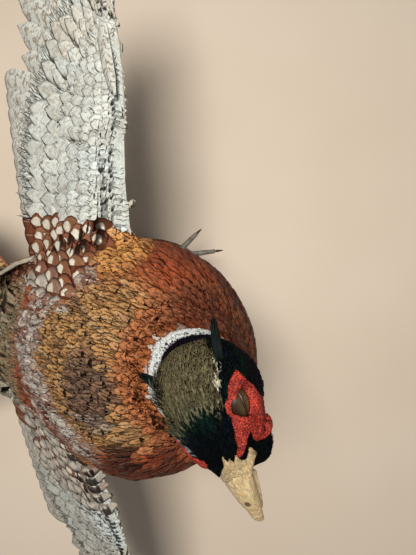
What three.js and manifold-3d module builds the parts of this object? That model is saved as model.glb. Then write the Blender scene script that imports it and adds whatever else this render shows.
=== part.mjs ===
// A life-size ring-necked pheasant cock as a taxidermist mounts it for a case: wings spread, trunk pitched
// up, tail fanned, feet reaching forward and the head turned over its right side, on a round base and post.
// Millimetres. +X is the bird's left, -Y its front and +Z up. The origin is the centre of the base's underside.
import * as THREE from "three";
import { mergeVertices } from "three/addons/utils/BufferGeometryUtils.js";
import Module from "manifold-3d";

const wasm = await Module();
wasm.setup();

// ---------------------------------------------------------------- driving sizes
const GAP = 0.35; // clearance between solids that touch
const THIN = 1.1; // thickness of a flight or tail feather's solid
const SHINGLE = 4.5; // degrees that each long feather's outer edge is raised over its neighbour

const BASE_RADIUS = 112;
const BASE_HEIGHT = 22;
const POST_RADIUS = 5;
const POST_AT = [12, 22]; // x and y of the post, below the bird's centre of mass

const TRUNK_CENTRE = new THREE.Vector3(2, -2, 287);
const TRUNK_PITCH = 35; // degrees, breast up
const TRUNK_YAW = 7; // degrees, breast turned to the bird's right
const TRUNK_BACK = -150; // the rump's end along the trunk's axis
const TRUNK_FRONT = 134; // the breast's front along the same axis
const RUMP_CUT = -82; // where the rump node meets the trunk node

const NECK_CUT = 392; // level of the cut below the white ring
const HEAD_EYES = new THREE.Vector3(-1, -88.3, 459.4); // between the eyes
const HEAD_YAW = 71.7; // degrees that the bill is turned to the bird's right
const HEAD_ROLL = 20.5; // degrees that the crown leans to the head's own right
const BILL_ROLL = -6; // degrees that the dried bill is twisted back against the head's roll
const HEAD_PITCH = 12; // degrees that the forehead is raised

const HAND_START = 120; // the wrist's place along the wing's span
const HAND_END = 188;
const PRIMARIES = 10;
const SECONDARIES = 11;
const TERTIALS = 3;
const TAIL_PAIRS = 9;
const TAIL_LENGTH = 430;

// Both wings share one plan. Each has its own shoulder and set, in degrees.
const WINGS = {
  left: { side: 1, shoulder: [55, -33, 322], dihedral: 11, sweep: 0, pitch: 37 },
  right: { side: -1, shoulder: [-50, 6, 306], dihedral: -13, sweep: 13, pitch: 40 },
};

// Each leg runs from the hip through the ankle to the toes' root, as [x, y, z].
const LEGS = {
  left: { side: 1, hip: [50, 6, 246], ankle: [60, 8, 156], foot: [80, -44, 120], turn: 8 },
  right: { side: -1, hip: [-36, 16, 246], ankle: [-48, 14, 156], foot: [-62, -42, 116], turn: -4 },
};

const COLOURS = {
  head: 0x1d2b22,
  crown: 0x55502f,
  bill: 0xc9b883,
  eye: 0x8a6a1c,
  facial_skin: 0xa81f18,
  neck: 0x17171f,
  trunk: 0x8a3a17,
  rump: 0x6f6c58,
  covert: 0xa7a192,
  flight: 0x8d7f68,
  tail: 0x94774c,
  leg: 0x6f6d68,
  claw: 0x2c2926,
  wood: 0x6a4a2e,
  metal: 0x8f7a4a,
};

// ---------------------------------------------------------------- small helpers
const rad = THREE.MathUtils.degToRad;
const vector = (list) => new THREE.Vector3(...list);

// An origin with forward, left and up axes. at(a, s, h) is the point a forward, s left and h up.
function frameOf(origin, forward, up) {
  const f = forward.clone().normalize();
  const l = up.clone().cross(f).normalize();
  const u = f.clone().cross(l).normalize();
  const at = (a, s, h) => origin.clone().addScaledVector(f, a).addScaledVector(l, s).addScaledVector(u, h);
  return { origin, forward: f, left: l, up: u, at };
}

// A smooth function through keys, each [place, value, value, ...].
function through(keys) {
  const count = keys[0].length - 1;
  const places = keys.map((key) => key[0]);
  const curve = new THREE.CubicInterpolant(places, keys.flatMap((key) => key.slice(1)), count);
  return (place) => Array.from(curve.evaluate(THREE.MathUtils.clamp(place, places[0], places.at(-1))));
}

// A ring of points round a centre, with its own half width, height above and depth below.
function ringOf(centre, across, up, [halfWidth, above, below], sides, fullness = 2.2) {
  const bend = 2 / fullness;
  const power = (value) => Math.sign(value) * Math.abs(value) ** bend;
  return Array.from({ length: sides }, (_, i) => {
    const angle = (2 * Math.PI * i) / sides;
    const rise = power(Math.sin(angle));
    return centre
      .clone()
      .addScaledVector(across, halfWidth * power(Math.cos(angle)))
      .addScaledVector(up, rise * (rise > 0 ? above : below));
  });
}

// A closed solid through rings of equally many points, with a fan of faces closing each end.
function loft(rings) {
  const sides = rings[0].length;
  const points = rings.flat();
  const faces = [];
  for (let r = 0; r + 1 < rings.length; r++) {
    for (let i = 0; i < sides; i++) {
      const [a, b] = [r * sides + i, r * sides + ((i + 1) % sides)];
      faces.push([a, b, b + sides], [a, b + sides, a + sides]);
    }
  }
  const last = points.length - sides;
  for (let i = 1; i + 1 < sides; i++) faces.push([i + 1, i, 0], [last, last + i, last + i + 1]);
  const geometry = new THREE.BufferGeometry().setFromPoints(points);
  geometry.setIndex(faces.flat());
  return geometry;
}

// three.js geometry to a manifold-3d solid, turned to face outwards, and back.
function solidOf(geometry) {
  const bare = new THREE.BufferGeometry();
  bare.setAttribute("position", geometry.getAttribute("position"));
  if (geometry.index) bare.setIndex(geometry.index);
  const merged = mergeVertices(bare, 1e-4);
  const make = (triVerts) =>
    new wasm.Manifold(new wasm.Mesh({ numProp: 3, vertProperties: merged.attributes.position.array, triVerts }));
  const faces = new Uint32Array(merged.index.array);
  const made = make(faces);
  if (made.volume() > 0) return made;
  for (let i = 0; i < faces.length; i += 3) [faces[i + 1], faces[i + 2]] = [faces[i + 2], faces[i + 1]];
  return make(faces);
}

function geometryOf(solid) {
  const mesh = solid.getMesh();
  const places = new Float32Array(mesh.numVert * 3);
  for (let i = 0; i < mesh.numVert; i++) {
    places.set(mesh.vertProperties.subarray(i * mesh.numProp, i * mesh.numProp + 3), i * 3);
  }
  const geometry = new THREE.BufferGeometry();
  geometry.setAttribute("position", new THREE.BufferAttribute(places, 3));
  geometry.setIndex(new THREE.BufferAttribute(mesh.triVerts, 1));
  geometry.computeVertexNormals();
  return geometry;
}

const union = (solids) => solids.reduce((sum, solid) => sum.add(solid));

// The largest piece of a solid: cuts can leave slivers beside it.
const mainPiece = (solid) => solid.decompose().sort((a, b) => b.volume() - a.volume())[0];

// The side of a plane that its normal points to. depth is measured along the normal.
const beyond = (solid, normal, depth) => solid.trimByPlane(normal.toArray(), depth);

const pheasant = new THREE.Group();
let group = pheasant; // what the next solids belong to

// Starts a group at a place on the bird, turned to its own forward, left and up axes.
function startGroup(name, { origin, forward, left, up }) {
  group = new THREE.Group();
  group.name = name;
  group.position.copy(origin);
  group.quaternion.setFromRotationMatrix(new THREE.Matrix4().makeBasis(forward, left, up));
  pheasant.add(group);
  group.updateMatrixWorld(true);
}

function add(name, solid, colour, finish = {}) {
  const material = new THREE.MeshStandardMaterial({ color: COLOURS[colour], roughness: 0.8, metalness: 0, ...finish });
  const inGroup = group.matrixWorld.clone().invert();
  const mesh = new THREE.Mesh(geometryOf(mainPiece(solid)).applyMatrix4(inGroup), material);
  mesh.name = name;
  group.add(mesh);
}

// ---------------------------------------------------------------- trunk and rump
const trunkForward = new THREE.Vector3(
  -Math.sin(rad(TRUNK_YAW)) * Math.cos(rad(TRUNK_PITCH)),
  -Math.cos(rad(TRUNK_YAW)) * Math.cos(rad(TRUNK_PITCH)),
  Math.sin(rad(TRUNK_PITCH)),
);
const trunk = frameOf(TRUNK_CENTRE, trunkForward, new THREE.Vector3(0, 0, 1));

// [place along the axis, half width, height above, depth below]
const trunkSize = through([
  [TRUNK_BACK, 36, 17, 17],
  [-118, 53, 28, 33],
  [-70, 71, 44, 56],
  [-10, 84, 56, 70],
  [45, 88, 64, 72],
  [90, 79, 64, 66],
  [TRUNK_FRONT, 66, 60, 58],
]);
const BREAST_ROUNDING = 78; // length of the breast's rounded end

function trunkSolid(grow = 0) {
  const rings = [];
  const count = 12;
  for (let i = 0; i <= count; i++) {
    const even = i / count;
    const place = TRUNK_BACK + (TRUNK_FRONT - TRUNK_BACK) * Math.sin((Math.PI / 2) * even ** 0.8);
    const end = Math.max(0, place - (TRUNK_FRONT - BREAST_ROUNDING)) / BREAST_ROUNDING;
    const shrink = Math.sqrt(Math.max(0.012, 1 - end ** 2.3));
    const sizes = trunkSize(place).map((size) => size * shrink + grow);
    rings.push(ringOf(trunk.at(place + grow * Math.sign(place), 0, 0), trunk.left, trunk.up, sizes, 16));
  }
  return solidOf(loft(rings));
}

// ---------------------------------------------------------------- neck
// [x, y, z, radius] from deep in the breast to the back of the head
const NECK_PATH = [
  [2, -58, 326, 50],
  [2, -68, 352, 46],
  [0, -77, 376, 37],
  [-1, -84, 399, 27.5],
  [2, -90, 420, 24.5],
  [5, -88, 443, 19.5],
];

function neckSolid(grow = 0) {
  const line = new THREE.CatmullRomCurve3(NECK_PATH.map(([x, y, z]) => new THREE.Vector3(x, y, z)));
  const radiusAt = through(NECK_PATH.map(([, , , radius], i) => [i / (NECK_PATH.length - 1), radius]));
  const count = 7;
  const rings = [];
  for (let i = 0; i <= count; i++) {
    const share = i / count;
    const along = line.getTangent(share);
    const across = new THREE.Vector3(0, 1, 0).cross(along).normalize();
    const radius = radiusAt(share)[0] + grow;
    rings.push(ringOf(line.getPoint(share), across, along.clone().cross(across), [radius, radius, radius], 14, 2));
  }
  return solidOf(loft(rings));
}

// ---------------------------------------------------------------- head
const headForward = new THREE.Vector3(
  -Math.sin(rad(HEAD_YAW)) * Math.cos(rad(HEAD_PITCH)),
  -Math.cos(rad(HEAD_YAW)) * Math.cos(rad(HEAD_PITCH)),
  Math.sin(rad(HEAD_PITCH)),
);
const headRight = headForward.clone().cross(new THREE.Vector3(0, 0, 1)).normalize();
const headUp = headRight
  .clone()
  .multiplyScalar(Math.sin(rad(HEAD_ROLL)))
  .addScaledVector(new THREE.Vector3(0, 0, 1), Math.cos(rad(HEAD_ROLL)));
const head = frameOf(HEAD_EYES, headForward, headUp);

const NAPE = -33;
const FOREHEAD = 21;
// [place, half width, height above, depth below, level of the section's middle]
const headSize = through([
  [NAPE, 10, 6, 7, 0],
  [-29, 16.2, 11, 14, 0],
  [-20, 20.2, 15.5, 19, 0],
  [-10, 19.8, 17, 20.5, 0],
  [1, 17.8, 15.8, 20, -0.5],
  [11, 13.6, 12, 17, -2],
  [17, 10, 8, 12.5, -3],
  [FOREHEAD, 8, 5.4, 9, -3.5],
]);

function headSolid(grow = 0) {
  const rings = [];
  const count = 9;
  for (let i = 0; i <= count; i++) {
    const place = NAPE + ((FOREHEAD - NAPE) * i) / count;
    const [halfWidth, above, below, level] = headSize(place);
    const sizes = [halfWidth + grow, above + grow, below + grow];
    const end = i === 0 ? -grow : i === count ? grow : 0;
    rings.push(ringOf(head.at(place + end, 0, level), head.left, head.up, sizes, 16, 2.15));
  }
  return solidOf(loft(rings));
}

// A bill half is a run of sections, each [place, half width, top, bottom], on the head's axes.
const billUp = head.up.clone().applyAxisAngle(head.forward, -rad(BILL_ROLL));
const bill = frameOf(HEAD_EYES, head.forward, billUp);
const BILL_BOW = 1.6; // how far the middle of the bill's length bows to the head's left
const billBow = (place) => BILL_BOW * Math.sin((Math.PI * (place - 14)) / 27);

function billHalf(sections) {
  return solidOf(
    loft(
      sections.map(([place, halfWidth, top, bottom]) => {
        const middle = (top + bottom) / 2;
        const half = (top - bottom) / 2;
        return ringOf(bill.at(place, billBow(place), middle), bill.left, bill.up, [halfWidth, half, half], 12, 2.4);
      }),
    ),
  );
}
const upperBill = billHalf([
  [14, 7.2, 4.2, -5],
  [20, 6.3, 3.4, -5],
  [27, 4.7, 1.4, -5.6],
  [33, 3.4, -2, -7.2],
  [37.5, 2.3, -5.4, -9.4],
  [40.6, 1.3, -9, -11.6],
]);
const lowerBill = billHalf([
  [14, 6.2, -5.6, -10],
  [21, 4.9, -5.7, -9.6],
  [28, 3.4, -6.6, -9.8],
  [33.5, 2.2, -8.7, -10.9],
  [36.5, 1.2, -10, -11.5],
]);

// The bare face on each side of the head is a closed outline of [place, level], pushed through from the side.
const FACE_OUTLINE = {
  left: [
    [-17, 7.6],
    [-12.3, 12.2],
    [-4.5, 13.9],
    [4.9, 10.9],
    [13.4, 6],
    [5.4, 5.2],
    [10.5, -1],
    [9.7, -8],
    [3, -14.5],
    [-4.5, -9],
    [-12.4, 4.6],
  ],
  right: [
    [-16, 6.6],
    [-9, 11.2],
    [0.6, 10],
    [13.4, 6.4],
    [14.4, 2.5],
    [10.8, -1],
    [9.7, -8],
    [3, -14.5],
    [-4.5, -9],
    [-12.4, 4],
  ],
};
const EYE_AT = [-5.4, 5.6]; // place and level on the head's side
const EYE_OUT = 11.9; // the eye's centre from the head's middle
const EYE_RADIUS = 6.2;
const EYE_OPENING = [6.1, 3.9]; // half length and half height of the gap between the lids
const FACE_THICKNESS = 1.5;
const CHEEK_SIZE = [13.5, 7.5, 8.5]; // along, across and up
const CHEEK_OUT = { left: 10.2, right: 8.4 }; // the left cheek's feathers stand out more
const eyeOf = (side, radius) =>
  solidOf(new THREE.SphereGeometry(radius, 10, 7)).translate(head.at(EYE_AT[0], side * EYE_OUT, EYE_AT[1]).toArray());

// A flat outline on the side of the head, pushed out sideways from a given distance.
function sidePlug(outline, side, from) {
  const plug = new THREE.ExtrudeGeometry(outline, { depth: 30, bevelEnabled: false, curveSegments: 5 });
  const basis = new THREE.Matrix4().makeBasis(head.forward, head.up, head.left.clone().multiplyScalar(side));
  return solidOf(plug.applyMatrix4(basis.setPosition(head.at(0, side * from, 0))));
}
const sideName = (side) => (side > 0 ? "left" : "right");
const faceShape = (side) =>
  new THREE.Shape(FACE_OUTLINE[sideName(side)].map(([place, level]) => new THREE.Vector2(place, level)));
const openingShape = new THREE.Shape().absellipse(...EYE_AT, ...EYE_OPENING, 0, 2 * Math.PI, false, -0.25);
const eyeOpening = (side) => sidePlug(openingShape, side, EYE_OUT);

function facialSkin(side) {
  const clearOf = [headSolid(GAP), neckSolid(GAP), eyeOf(side, EYE_RADIUS + GAP), eyeOpening(side)];
  return clearOf.reduce(
    (left, solid) => left.subtract(solid),
    headSolid(FACE_THICKNESS).intersect(sidePlug(faceShape(side), side, 4)),
  );
}

// The puffed feathers below and in front of the facial skin.
function cheek(side, out, grow = 0) {
  const ball = new THREE.SphereGeometry(1, 10, 6).scale(...CHEEK_SIZE.map((size) => size + grow));
  ball.applyMatrix4(new THREE.Matrix4().makeBasis(head.forward, head.left, head.up).setPosition(head.at(8.6, side * out, -9.5)));
  const room = headSolid(FACE_THICKNESS + GAP).intersect(sidePlug(faceShape(side), side, 4));
  return solidOf(ball).subtract(room);
}

// An ear tuft is a bent cone from the crown's rear corner, given by its root and tip on the head's axes.
function earTuft(root, tip) {
  const [start, end] = [head.at(...root), head.at(...tip)];
  const bend = start.clone().lerp(end, 0.5).addScaledVector(head.up, 2);
  const line = new THREE.QuadraticBezierCurve3(start, bend, end);
  const radii = [3.4, 3.9, 2.9, 0.9];
  const rings = radii.map((radius, i) => {
    const share = i / (radii.length - 1);
    const along = line.getTangent(share);
    const across = head.up.clone().cross(along).normalize();
    return ringOf(line.getPoint(share), across, along.clone().cross(across), [radius, radius * 0.6, radius * 0.6], 8, 2);
  });
  return solidOf(loft(rings)).subtract(headSolid(GAP));
}

// ---------------------------------------------------------------- wings
// A wing's frame: out along the span, back along the chord, and up from its upper face. The leading edge is chord 0.
function wingFrame({ side, shoulder, dihedral, sweep, pitch }) {
  const out = new THREE.Vector3(
    side * Math.cos(rad(dihedral)) * Math.cos(rad(sweep)),
    -Math.cos(rad(dihedral)) * Math.sin(rad(sweep)),
    Math.sin(rad(dihedral)),
  );
  const back = new THREE.Vector3(0, Math.cos(rad(pitch)), -Math.sin(rad(pitch)));
  back.addScaledVector(out, -back.dot(out)).normalize();
  const up = out.clone().cross(back).multiplyScalar(side);
  const origin = vector(shoulder);
  const at = (s, c, n) => origin.clone().addScaledVector(out, s).addScaledVector(back, c).addScaledVector(up, n);
  return { side, out, back, up, at };
}

// A lens-shaped section from the leading edge to the coverts' ends, thickest at a third of its chord.
function wingSection(wing, place, front, rear, thickness, grow) {
  const sides = 10;
  return Array.from({ length: sides }, (_, i) => {
    const angle = (2 * Math.PI * i) / sides;
    const share = 0.5 - 0.5 * Math.cos(angle);
    const taper = 1 - 0.62 * share;
    const camber = 7 * share * (1 - share);
    const chord = front + (rear - front) * share - grow * Math.cos(angle);
    return wing.at(place, chord, camber + Math.sin(angle) * (thickness * taper * 0.62 + grow));
  });
}

// [place along the span, leading edge, coverts' ends, thickness]
const armSize = through([
  [-18, -4, 104, 36],
  [20, -3, 102, 29],
  [60, 2, 98, 20],
  [100, 1, 92, 15],
  [HAND_START, 0, 84, 13],
]);
const handSize = through([
  [HAND_START, 0, 84, 13],
  [145, 1, 64, 10],
  [170, 5, 44, 6.5],
  [HAND_END, 11, 26, 3],
]);

function wingPart(wing, size, from, to, count, grow = 0) {
  const rings = [];
  for (let i = 0; i <= count; i++) {
    const place = from + ((to - from) * i) / count;
    const [front, rear, thickness] = size(place);
    rings.push(wingSection(wing, place, front, rear, thickness, grow));
  }
  return solidOf(loft(rings));
}
const armSolid = (wing, grow) => wingPart(wing, armSize, -18, HAND_START - GAP / 2 + (grow ?? 0), 5, grow);
const handSolid = (wing, grow) => wingPart(wing, handSize, HAND_START + GAP / 2 - (grow ?? 0), HAND_END, 3, grow);

// A long feather's solid: four corners at each of a few places, bending down towards its tip.
const BLADE_PLACES = [
  [0, 0.5],
  [0.5, 1],
  [0.9, 0.8],
  [1, 0.22],
];
function blade({ root, along, up, length, width, droop, roll }) {
  const upright = up.clone().applyAxisAngle(along, roll);
  const across = along.clone().cross(upright).normalize();
  const rings = BLADE_PLACES.map(([share, wide]) => {
    const middle = root
      .clone()
      .addScaledVector(along, length * share)
      .addScaledVector(up, -droop * share ** 2);
    const corner = (side, level) =>
      middle
        .clone()
        .addScaledVector(across, (side * width * wide) / 2)
        .addScaledVector(upright, (level * THIN) / 2);
    return [corner(-1, -1), corner(1, -1), corner(1, 1), corner(-1, 1)];
  });
  return solidOf(loft(rings));
}

// A flight feather lies in the wing's plane at an angle from the chord, with its outer edge over the next feather.
function flightFeather(wing, { place, chord, level, angle, length, width, droop }) {
  const along = wing.back
    .clone()
    .multiplyScalar(Math.cos(rad(angle)))
    .addScaledVector(wing.out, Math.sin(rad(angle)));
  const roll = -wing.side * rad(SHINGLE);
  return blade({ root: wing.at(place, chord, level), along, up: wing.up, length, width, droop, roll });
}
const primary = (i) => ({
  place: 124 + 6.4 * i,
  chord: 16 + 0.2 * i,
  level: -4.1 + 0.1 * i,
  angle: 22 + 6.3 * i,
  length: 130 + 40 * Math.sin((Math.PI * (i + 0.5)) / 11.5),
  width: 30 - 0.9 * i,
  droop: 7 + 0.5 * i,
});
const secondary = (i) => ({
  place: 116 - 9 * i,
  chord: 22 + 2 * i,
  level: -2.3,
  angle: 17 - 1.9 * i,
  length: 150 - 3.8 * i,
  width: 30,
  droop: 6,
});
const tertial = (i) => ({
  place: 16 - 9 * i,
  chord: 52,
  level: -2.1 + 0.2 * i,
  angle: -6 - 3 * i,
  length: 96 - 8 * i,
  width: 31,
  droop: 5,
});
const several = (count, of) => Array.from({ length: count }, (_, i) => of(i));

function addWing(name, plan, body) {
  const wing = wingFrame(plan);
  const flesh = [armSolid(wing, GAP), handSolid(wing, GAP), body];
  const cutClear = (solid) => flesh.reduce((left, part) => left.subtract(part), solid);
  const inner = [
    ...several(SECONDARIES, (i) => flightFeather(wing, secondary(i))),
    ...several(TERTIALS, (i) => flightFeather(wing, tertial(i))),
  ];
  const outer = several(PRIMARIES, (i) => flightFeather(wing, primary(i)));
  const alula = { place: 122, chord: 5, level: 7.4, angle: 72, length: 54, width: 15, droop: 5 };
  startGroup(`wing_${name}`, frameOf(vector(plan.shoulder), wing.out, wing.up));
  add(`wing_${name}_arm`, armSolid(wing).subtract(body), "covert");
  add(`wing_${name}_hand`, handSolid(wing).subtract(body), "covert");
  add(`wing_${name}_secondaries`, cutClear(union(inner)), "flight");
  add(`wing_${name}_primaries`, cutClear(union(outer)), "flight");
  add(`wing_${name}_alula`, cutClear(flightFeather(wing, alula)), "flight");
}

// ---------------------------------------------------------------- tail
const TAIL_ROOT = trunk.at(TRUNK_BACK + 26, 0, 2);
const TAIL_PITCH = -13;
const TAIL_YAW = 9;
const tailBack = new THREE.Vector3(
  Math.sin(rad(TAIL_YAW)) * Math.cos(rad(TAIL_PITCH)),
  Math.cos(rad(TAIL_YAW)) * Math.cos(rad(TAIL_PITCH)),
  Math.sin(rad(TAIL_PITCH)),
);
const tail = frameOf(TAIL_ROOT, tailBack, new THREE.Vector3(0, 0, 1));

// Feather i of one side, counted out from the middle. Outer feathers are shorter, and lower in the stack.
function tailFeather(side, i) {
  const share = i / TAIL_PAIRS;
  const angle = side * rad(1.5 + 4.1 * i);
  const along = tail.forward.clone().multiplyScalar(Math.cos(angle)).addScaledVector(tail.left, -Math.sin(angle));
  return blade({
    root: tail.at(0, -side * (3 + 2.6 * i), i ? -2.2 - 0.35 * i : side * 0.35),
    along,
    up: tail.up.clone().addScaledVector(tail.left, -side * 0.02 * i).normalize(),
    length: TAIL_LENGTH * (1 - 0.68 * share ** 0.8),
    width: 34 - 0.5 * i,
    droop: 12 - i,
    roll: -side * rad(i ? SHINGLE : 2),
  });
}

function addTail(rump) {
  startGroup("tail", tail);
  add("tail_middle", union([tailFeather(1, 0), tailFeather(-1, 0)]).subtract(rump), "tail");
  for (const [name, side] of [["left", 1], ["right", -1]]) {
    const fan = union(several(TAIL_PAIRS - 1, (i) => tailFeather(side, i + 1)));
    const across = tail.left.clone().multiplyScalar(-side);
    add(`tail_${name}`, beyond(fan, across, across.dot(TAIL_ROOT) + GAP).subtract(rump), "tail");
  }
}

// ---------------------------------------------------------------- legs
// A limb through places, each [point, radius], with round sections.
function limb(places, sides) {
  const line = new THREE.CatmullRomCurve3(places.map(([point]) => point));
  const rings = places.map(([point, radius], i) => {
    const along = line.getTangent(i / (places.length - 1));
    const hint = Math.abs(along.z) > 0.8 ? new THREE.Vector3(0, 1, 0) : new THREE.Vector3(0, 0, 1);
    const across = hint.cross(along).normalize();
    return ringOf(point, across, along.clone().cross(across), [radius, radius, radius], sides, 2);
  });
  return solidOf(loft(rings));
}

const TOES = [
  { name: "middle", turn: 0, length: 50 },
  { name: "outer", turn: 38, length: 38 },
  { name: "inner", turn: -36, length: 36 },
  { name: "hind", turn: 168, length: 15 },
];
const TARSUS_RADIUS = 4.1;
const TOE_RADIUS = 3;
const CLAW_LENGTH = 10;
const KNUCKLE = 5.6; // radius of the foot's ball

// A toe sets out level, in its own direction, and bends down towards its claw.
function toeFrame(foot, side, turn, footTurn) {
  const heading = rad(side * (turn + footTurn));
  return frameOf(foot, new THREE.Vector3(Math.sin(heading), -Math.cos(heading), 0.05), new THREE.Vector3(0, 0, 1));
}

function addLeg(name, { side, hip, ankle, foot, turn }, body) {
  const [hipAt, ankleAt, footAt] = [hip, ankle, foot].map(vector);
  startGroup(`limb_${name}`, frameOf(hipAt, new THREE.Vector3(0, -1, 0), new THREE.Vector3(0, 0, 1)));
  const between = (share) => hipAt.clone().lerp(ankleAt, share);
  const thigh = limb(
    [[hipAt, 34], [between(0.3), 29], [between(0.6), 19], [between(0.85), 9.5], [between(0.97), 6.4]],
    14,
  );
  const shin = footAt.clone().sub(ankleAt).normalize();
  const tarsus = limb(
    [
      [ankleAt.clone().addScaledVector(shin, -3), 4.4],
      [ankleAt.clone().addScaledVector(shin, 5), 4.6],
      [ankleAt.clone().lerp(footAt, 0.5), TARSUS_RADIUS],
      [footAt.clone().addScaledVector(shin, -1), 4.6],
    ],
    10,
  );
  const toes = TOES.map((toe) => {
    const path = toeFrame(footAt, side, toe.turn, turn);
    const bend = (share) => -0.16 * toe.length * share ** 2;
    const point = (share) => path.at(toe.length * share, 0, bend(share));
    return { ...toe, path, tip: point(1), solid: limb([[point(0), 4], [point(0.5), TOE_RADIUS], [point(1), 2.1]], 6) };
  });
  const ball = solidOf(new THREE.SphereGeometry(KNUCKLE, 8, 6)).translate(footAt.toArray());
  const footSolid = union([ball, ...toes.map((toe) => toe.solid)]);
  add(`thigh_${name}`, thigh.subtract(body), "trunk");
  add(`leg_${name}`, tarsus.subtract(thigh).subtract(footSolid.add(ball.translate(shin.clone().multiplyScalar(-GAP).toArray()))), "leg");
  add(`foot_${name}`, footSolid, "leg");
  for (const toe of toes) {
    const start = toe.tip.clone().addScaledVector(toe.path.forward, GAP);
    const length = toe.name === "hind" ? CLAW_LENGTH * 0.7 : CLAW_LENGTH;
    const claw = limb(
      [
        [start, 1.7],
        [start.clone().addScaledVector(toe.path.forward, length * 0.5).addScaledVector(toe.path.up, -length * 0.12), 1.3],
        [start.clone().addScaledVector(toe.path.forward, length * 0.92).addScaledVector(toe.path.up, -length * 0.45), 0.5],
      ],
      8,
    );
    add(`claw_${name}_${toe.name}`, claw.subtract(footSolid), "claw");
  }
  const spurRoot = ankleAt.clone().lerp(footAt, 0.66);
  const spurOut = new THREE.Vector3(0, 1, -0.35).addScaledVector(shin, -shin.dot(new THREE.Vector3(0, 1, -0.35))).normalize();
  const spur = limb(
    [
      [spurRoot.clone().addScaledVector(spurOut, 2), 2.6],
      [spurRoot.clone().addScaledVector(spurOut, 8), 1.8],
      [spurRoot.clone().addScaledVector(spurOut, 13).addScaledVector(shin, -2), 0.5],
    ],
    8,
  );
  const tarsusGrown = limb([[ankleAt, 4.7 + GAP], [ankleAt.clone().lerp(footAt, 0.5), TARSUS_RADIUS + GAP], [footAt, 4.7 + GAP]], 10);
  add(`spur_${name}`, spur.subtract(tarsusGrown), "claw");
}

// ---------------------------------------------------------------- stand
function addStand(body) {
  startGroup("stand", frameOf(new THREE.Vector3(), new THREE.Vector3(1, 0, 0), new THREE.Vector3(0, 0, 1)));
  const edge = 7; // height of the rounded top edge
  const profile = new THREE.Path();
  profile.moveTo(0, 0);
  profile.lineTo(BASE_RADIUS - 2, 0);
  profile.lineTo(BASE_RADIUS, 2);
  profile.lineTo(BASE_RADIUS, BASE_HEIGHT - edge - 3);
  profile.lineTo(BASE_RADIUS - 3, BASE_HEIGHT - edge);
  profile.quadraticCurveTo(BASE_RADIUS - 4, BASE_HEIGHT - 1, BASE_RADIUS - 13, BASE_HEIGHT);
  profile.lineTo(0, BASE_HEIGHT);
  const base = new THREE.LatheGeometry(profile.getPoints(2), 36).rotateX(Math.PI / 2);
  add("stand_base", solidOf(base), "wood", { roughness: 0.5 });

  const [x, y] = POST_AT;
  const upright = (geometry, low) => solidOf(geometry.rotateX(Math.PI / 2)).translate([x, y, low]);
  const flangeRise = 9;
  const flangeTop = BASE_HEIGHT + GAP + flangeRise;
  const flangeProfile = [[0, 0], [19, 0], [19, 2.4], [11, 4.4], [8.6, flangeRise], [0, flangeRise]];
  const flange = new THREE.LatheGeometry(flangeProfile.map(([r, h]) => new THREE.Vector2(r, h)), 20);
  add("stand_flange", upright(flange, BASE_HEIGHT + GAP), "metal", { roughness: 0.35, metalness: 1 });

  const postLength = 190;
  const post = new THREE.CylinderGeometry(POST_RADIUS, POST_RADIUS, postLength, 16).translate(0, postLength / 2, 0);
  add("stand_post", upright(post, flangeTop + GAP).subtract(body), "metal", { roughness: 0.35, metalness: 1 });
}

// ---------------------------------------------------------------- assembly
startGroup("body", trunk);
const bodyShape = trunkSolid().add(neckSolid());
const bodyGrown = trunkSolid(GAP).add(neckSolid(GAP));
const level = new THREE.Vector3(0, 0, 1);
const below = beyond(bodyShape, level.clone().negate(), -NECK_CUT + GAP / 2);
const rumpPlane = trunk.origin.dot(trunk.forward) + RUMP_CUT;
add("trunk", beyond(below, trunk.forward, rumpPlane + GAP / 2), "trunk");
add("rump", beyond(below, trunk.forward.clone().negate(), -rumpPlane + GAP / 2), "rump");
const aboveBody = [headSolid(GAP), cheek(1, CHEEK_OUT.left, GAP), cheek(-1, CHEEK_OUT.right, GAP), trunkSolid(GAP)];
const neckTop = beyond(neckSolid(), level, NECK_CUT + GAP / 2);
add("neck", aboveBody.reduce((left, solid) => left.subtract(solid), neckTop), "neck");

startGroup("head_and_bill", head);
const eyeSockets = union([1, -1].flatMap((side) => [eyeOf(side, EYE_RADIUS + GAP), eyeOpening(side)]));
const billRoom = upperBill.add(lowerBill);
const headWhole = union([headSolid(), cheek(1, CHEEK_OUT.left), cheek(-1, CHEEK_OUT.right)]);
add("head", headWhole.subtract(billRoom).subtract(eyeSockets), "head");
add("bill_upper", upperBill.subtract(headSolid(GAP)), "bill", { roughness: 0.5 });
add("bill_lower", lowerBill.subtract(headSolid(GAP)), "bill", { roughness: 0.5 });
for (const [name, side] of [["left", 1], ["right", -1]]) {
  add(`eye_${name}`, eyeOf(side, EYE_RADIUS), "eye", { roughness: 0.05 });
  add(`facial_skin_${name}`, facialSkin(side), "facial_skin", { roughness: 0.6 });
}
add("ear_tuft_left", earTuft([-22, 14.5, 8.5], [-36.5, 16, 9]), "head");
add("ear_tuft_right", earTuft([-20, -17, 2], [-25, -25, 3]), "head");

for (const [name, plan] of Object.entries(WINGS)) addWing(name, plan, bodyGrown);
addTail(bodyGrown);
for (const [name, plan] of Object.entries(LEGS)) addLeg(name, plan, bodyGrown);
addStand(bodyGrown);

export default pheasant;
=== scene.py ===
import math

import bmesh
import bpy
import numpy as np
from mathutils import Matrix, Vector, kdtree
from mathutils.bvhtree import BVHTree


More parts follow.
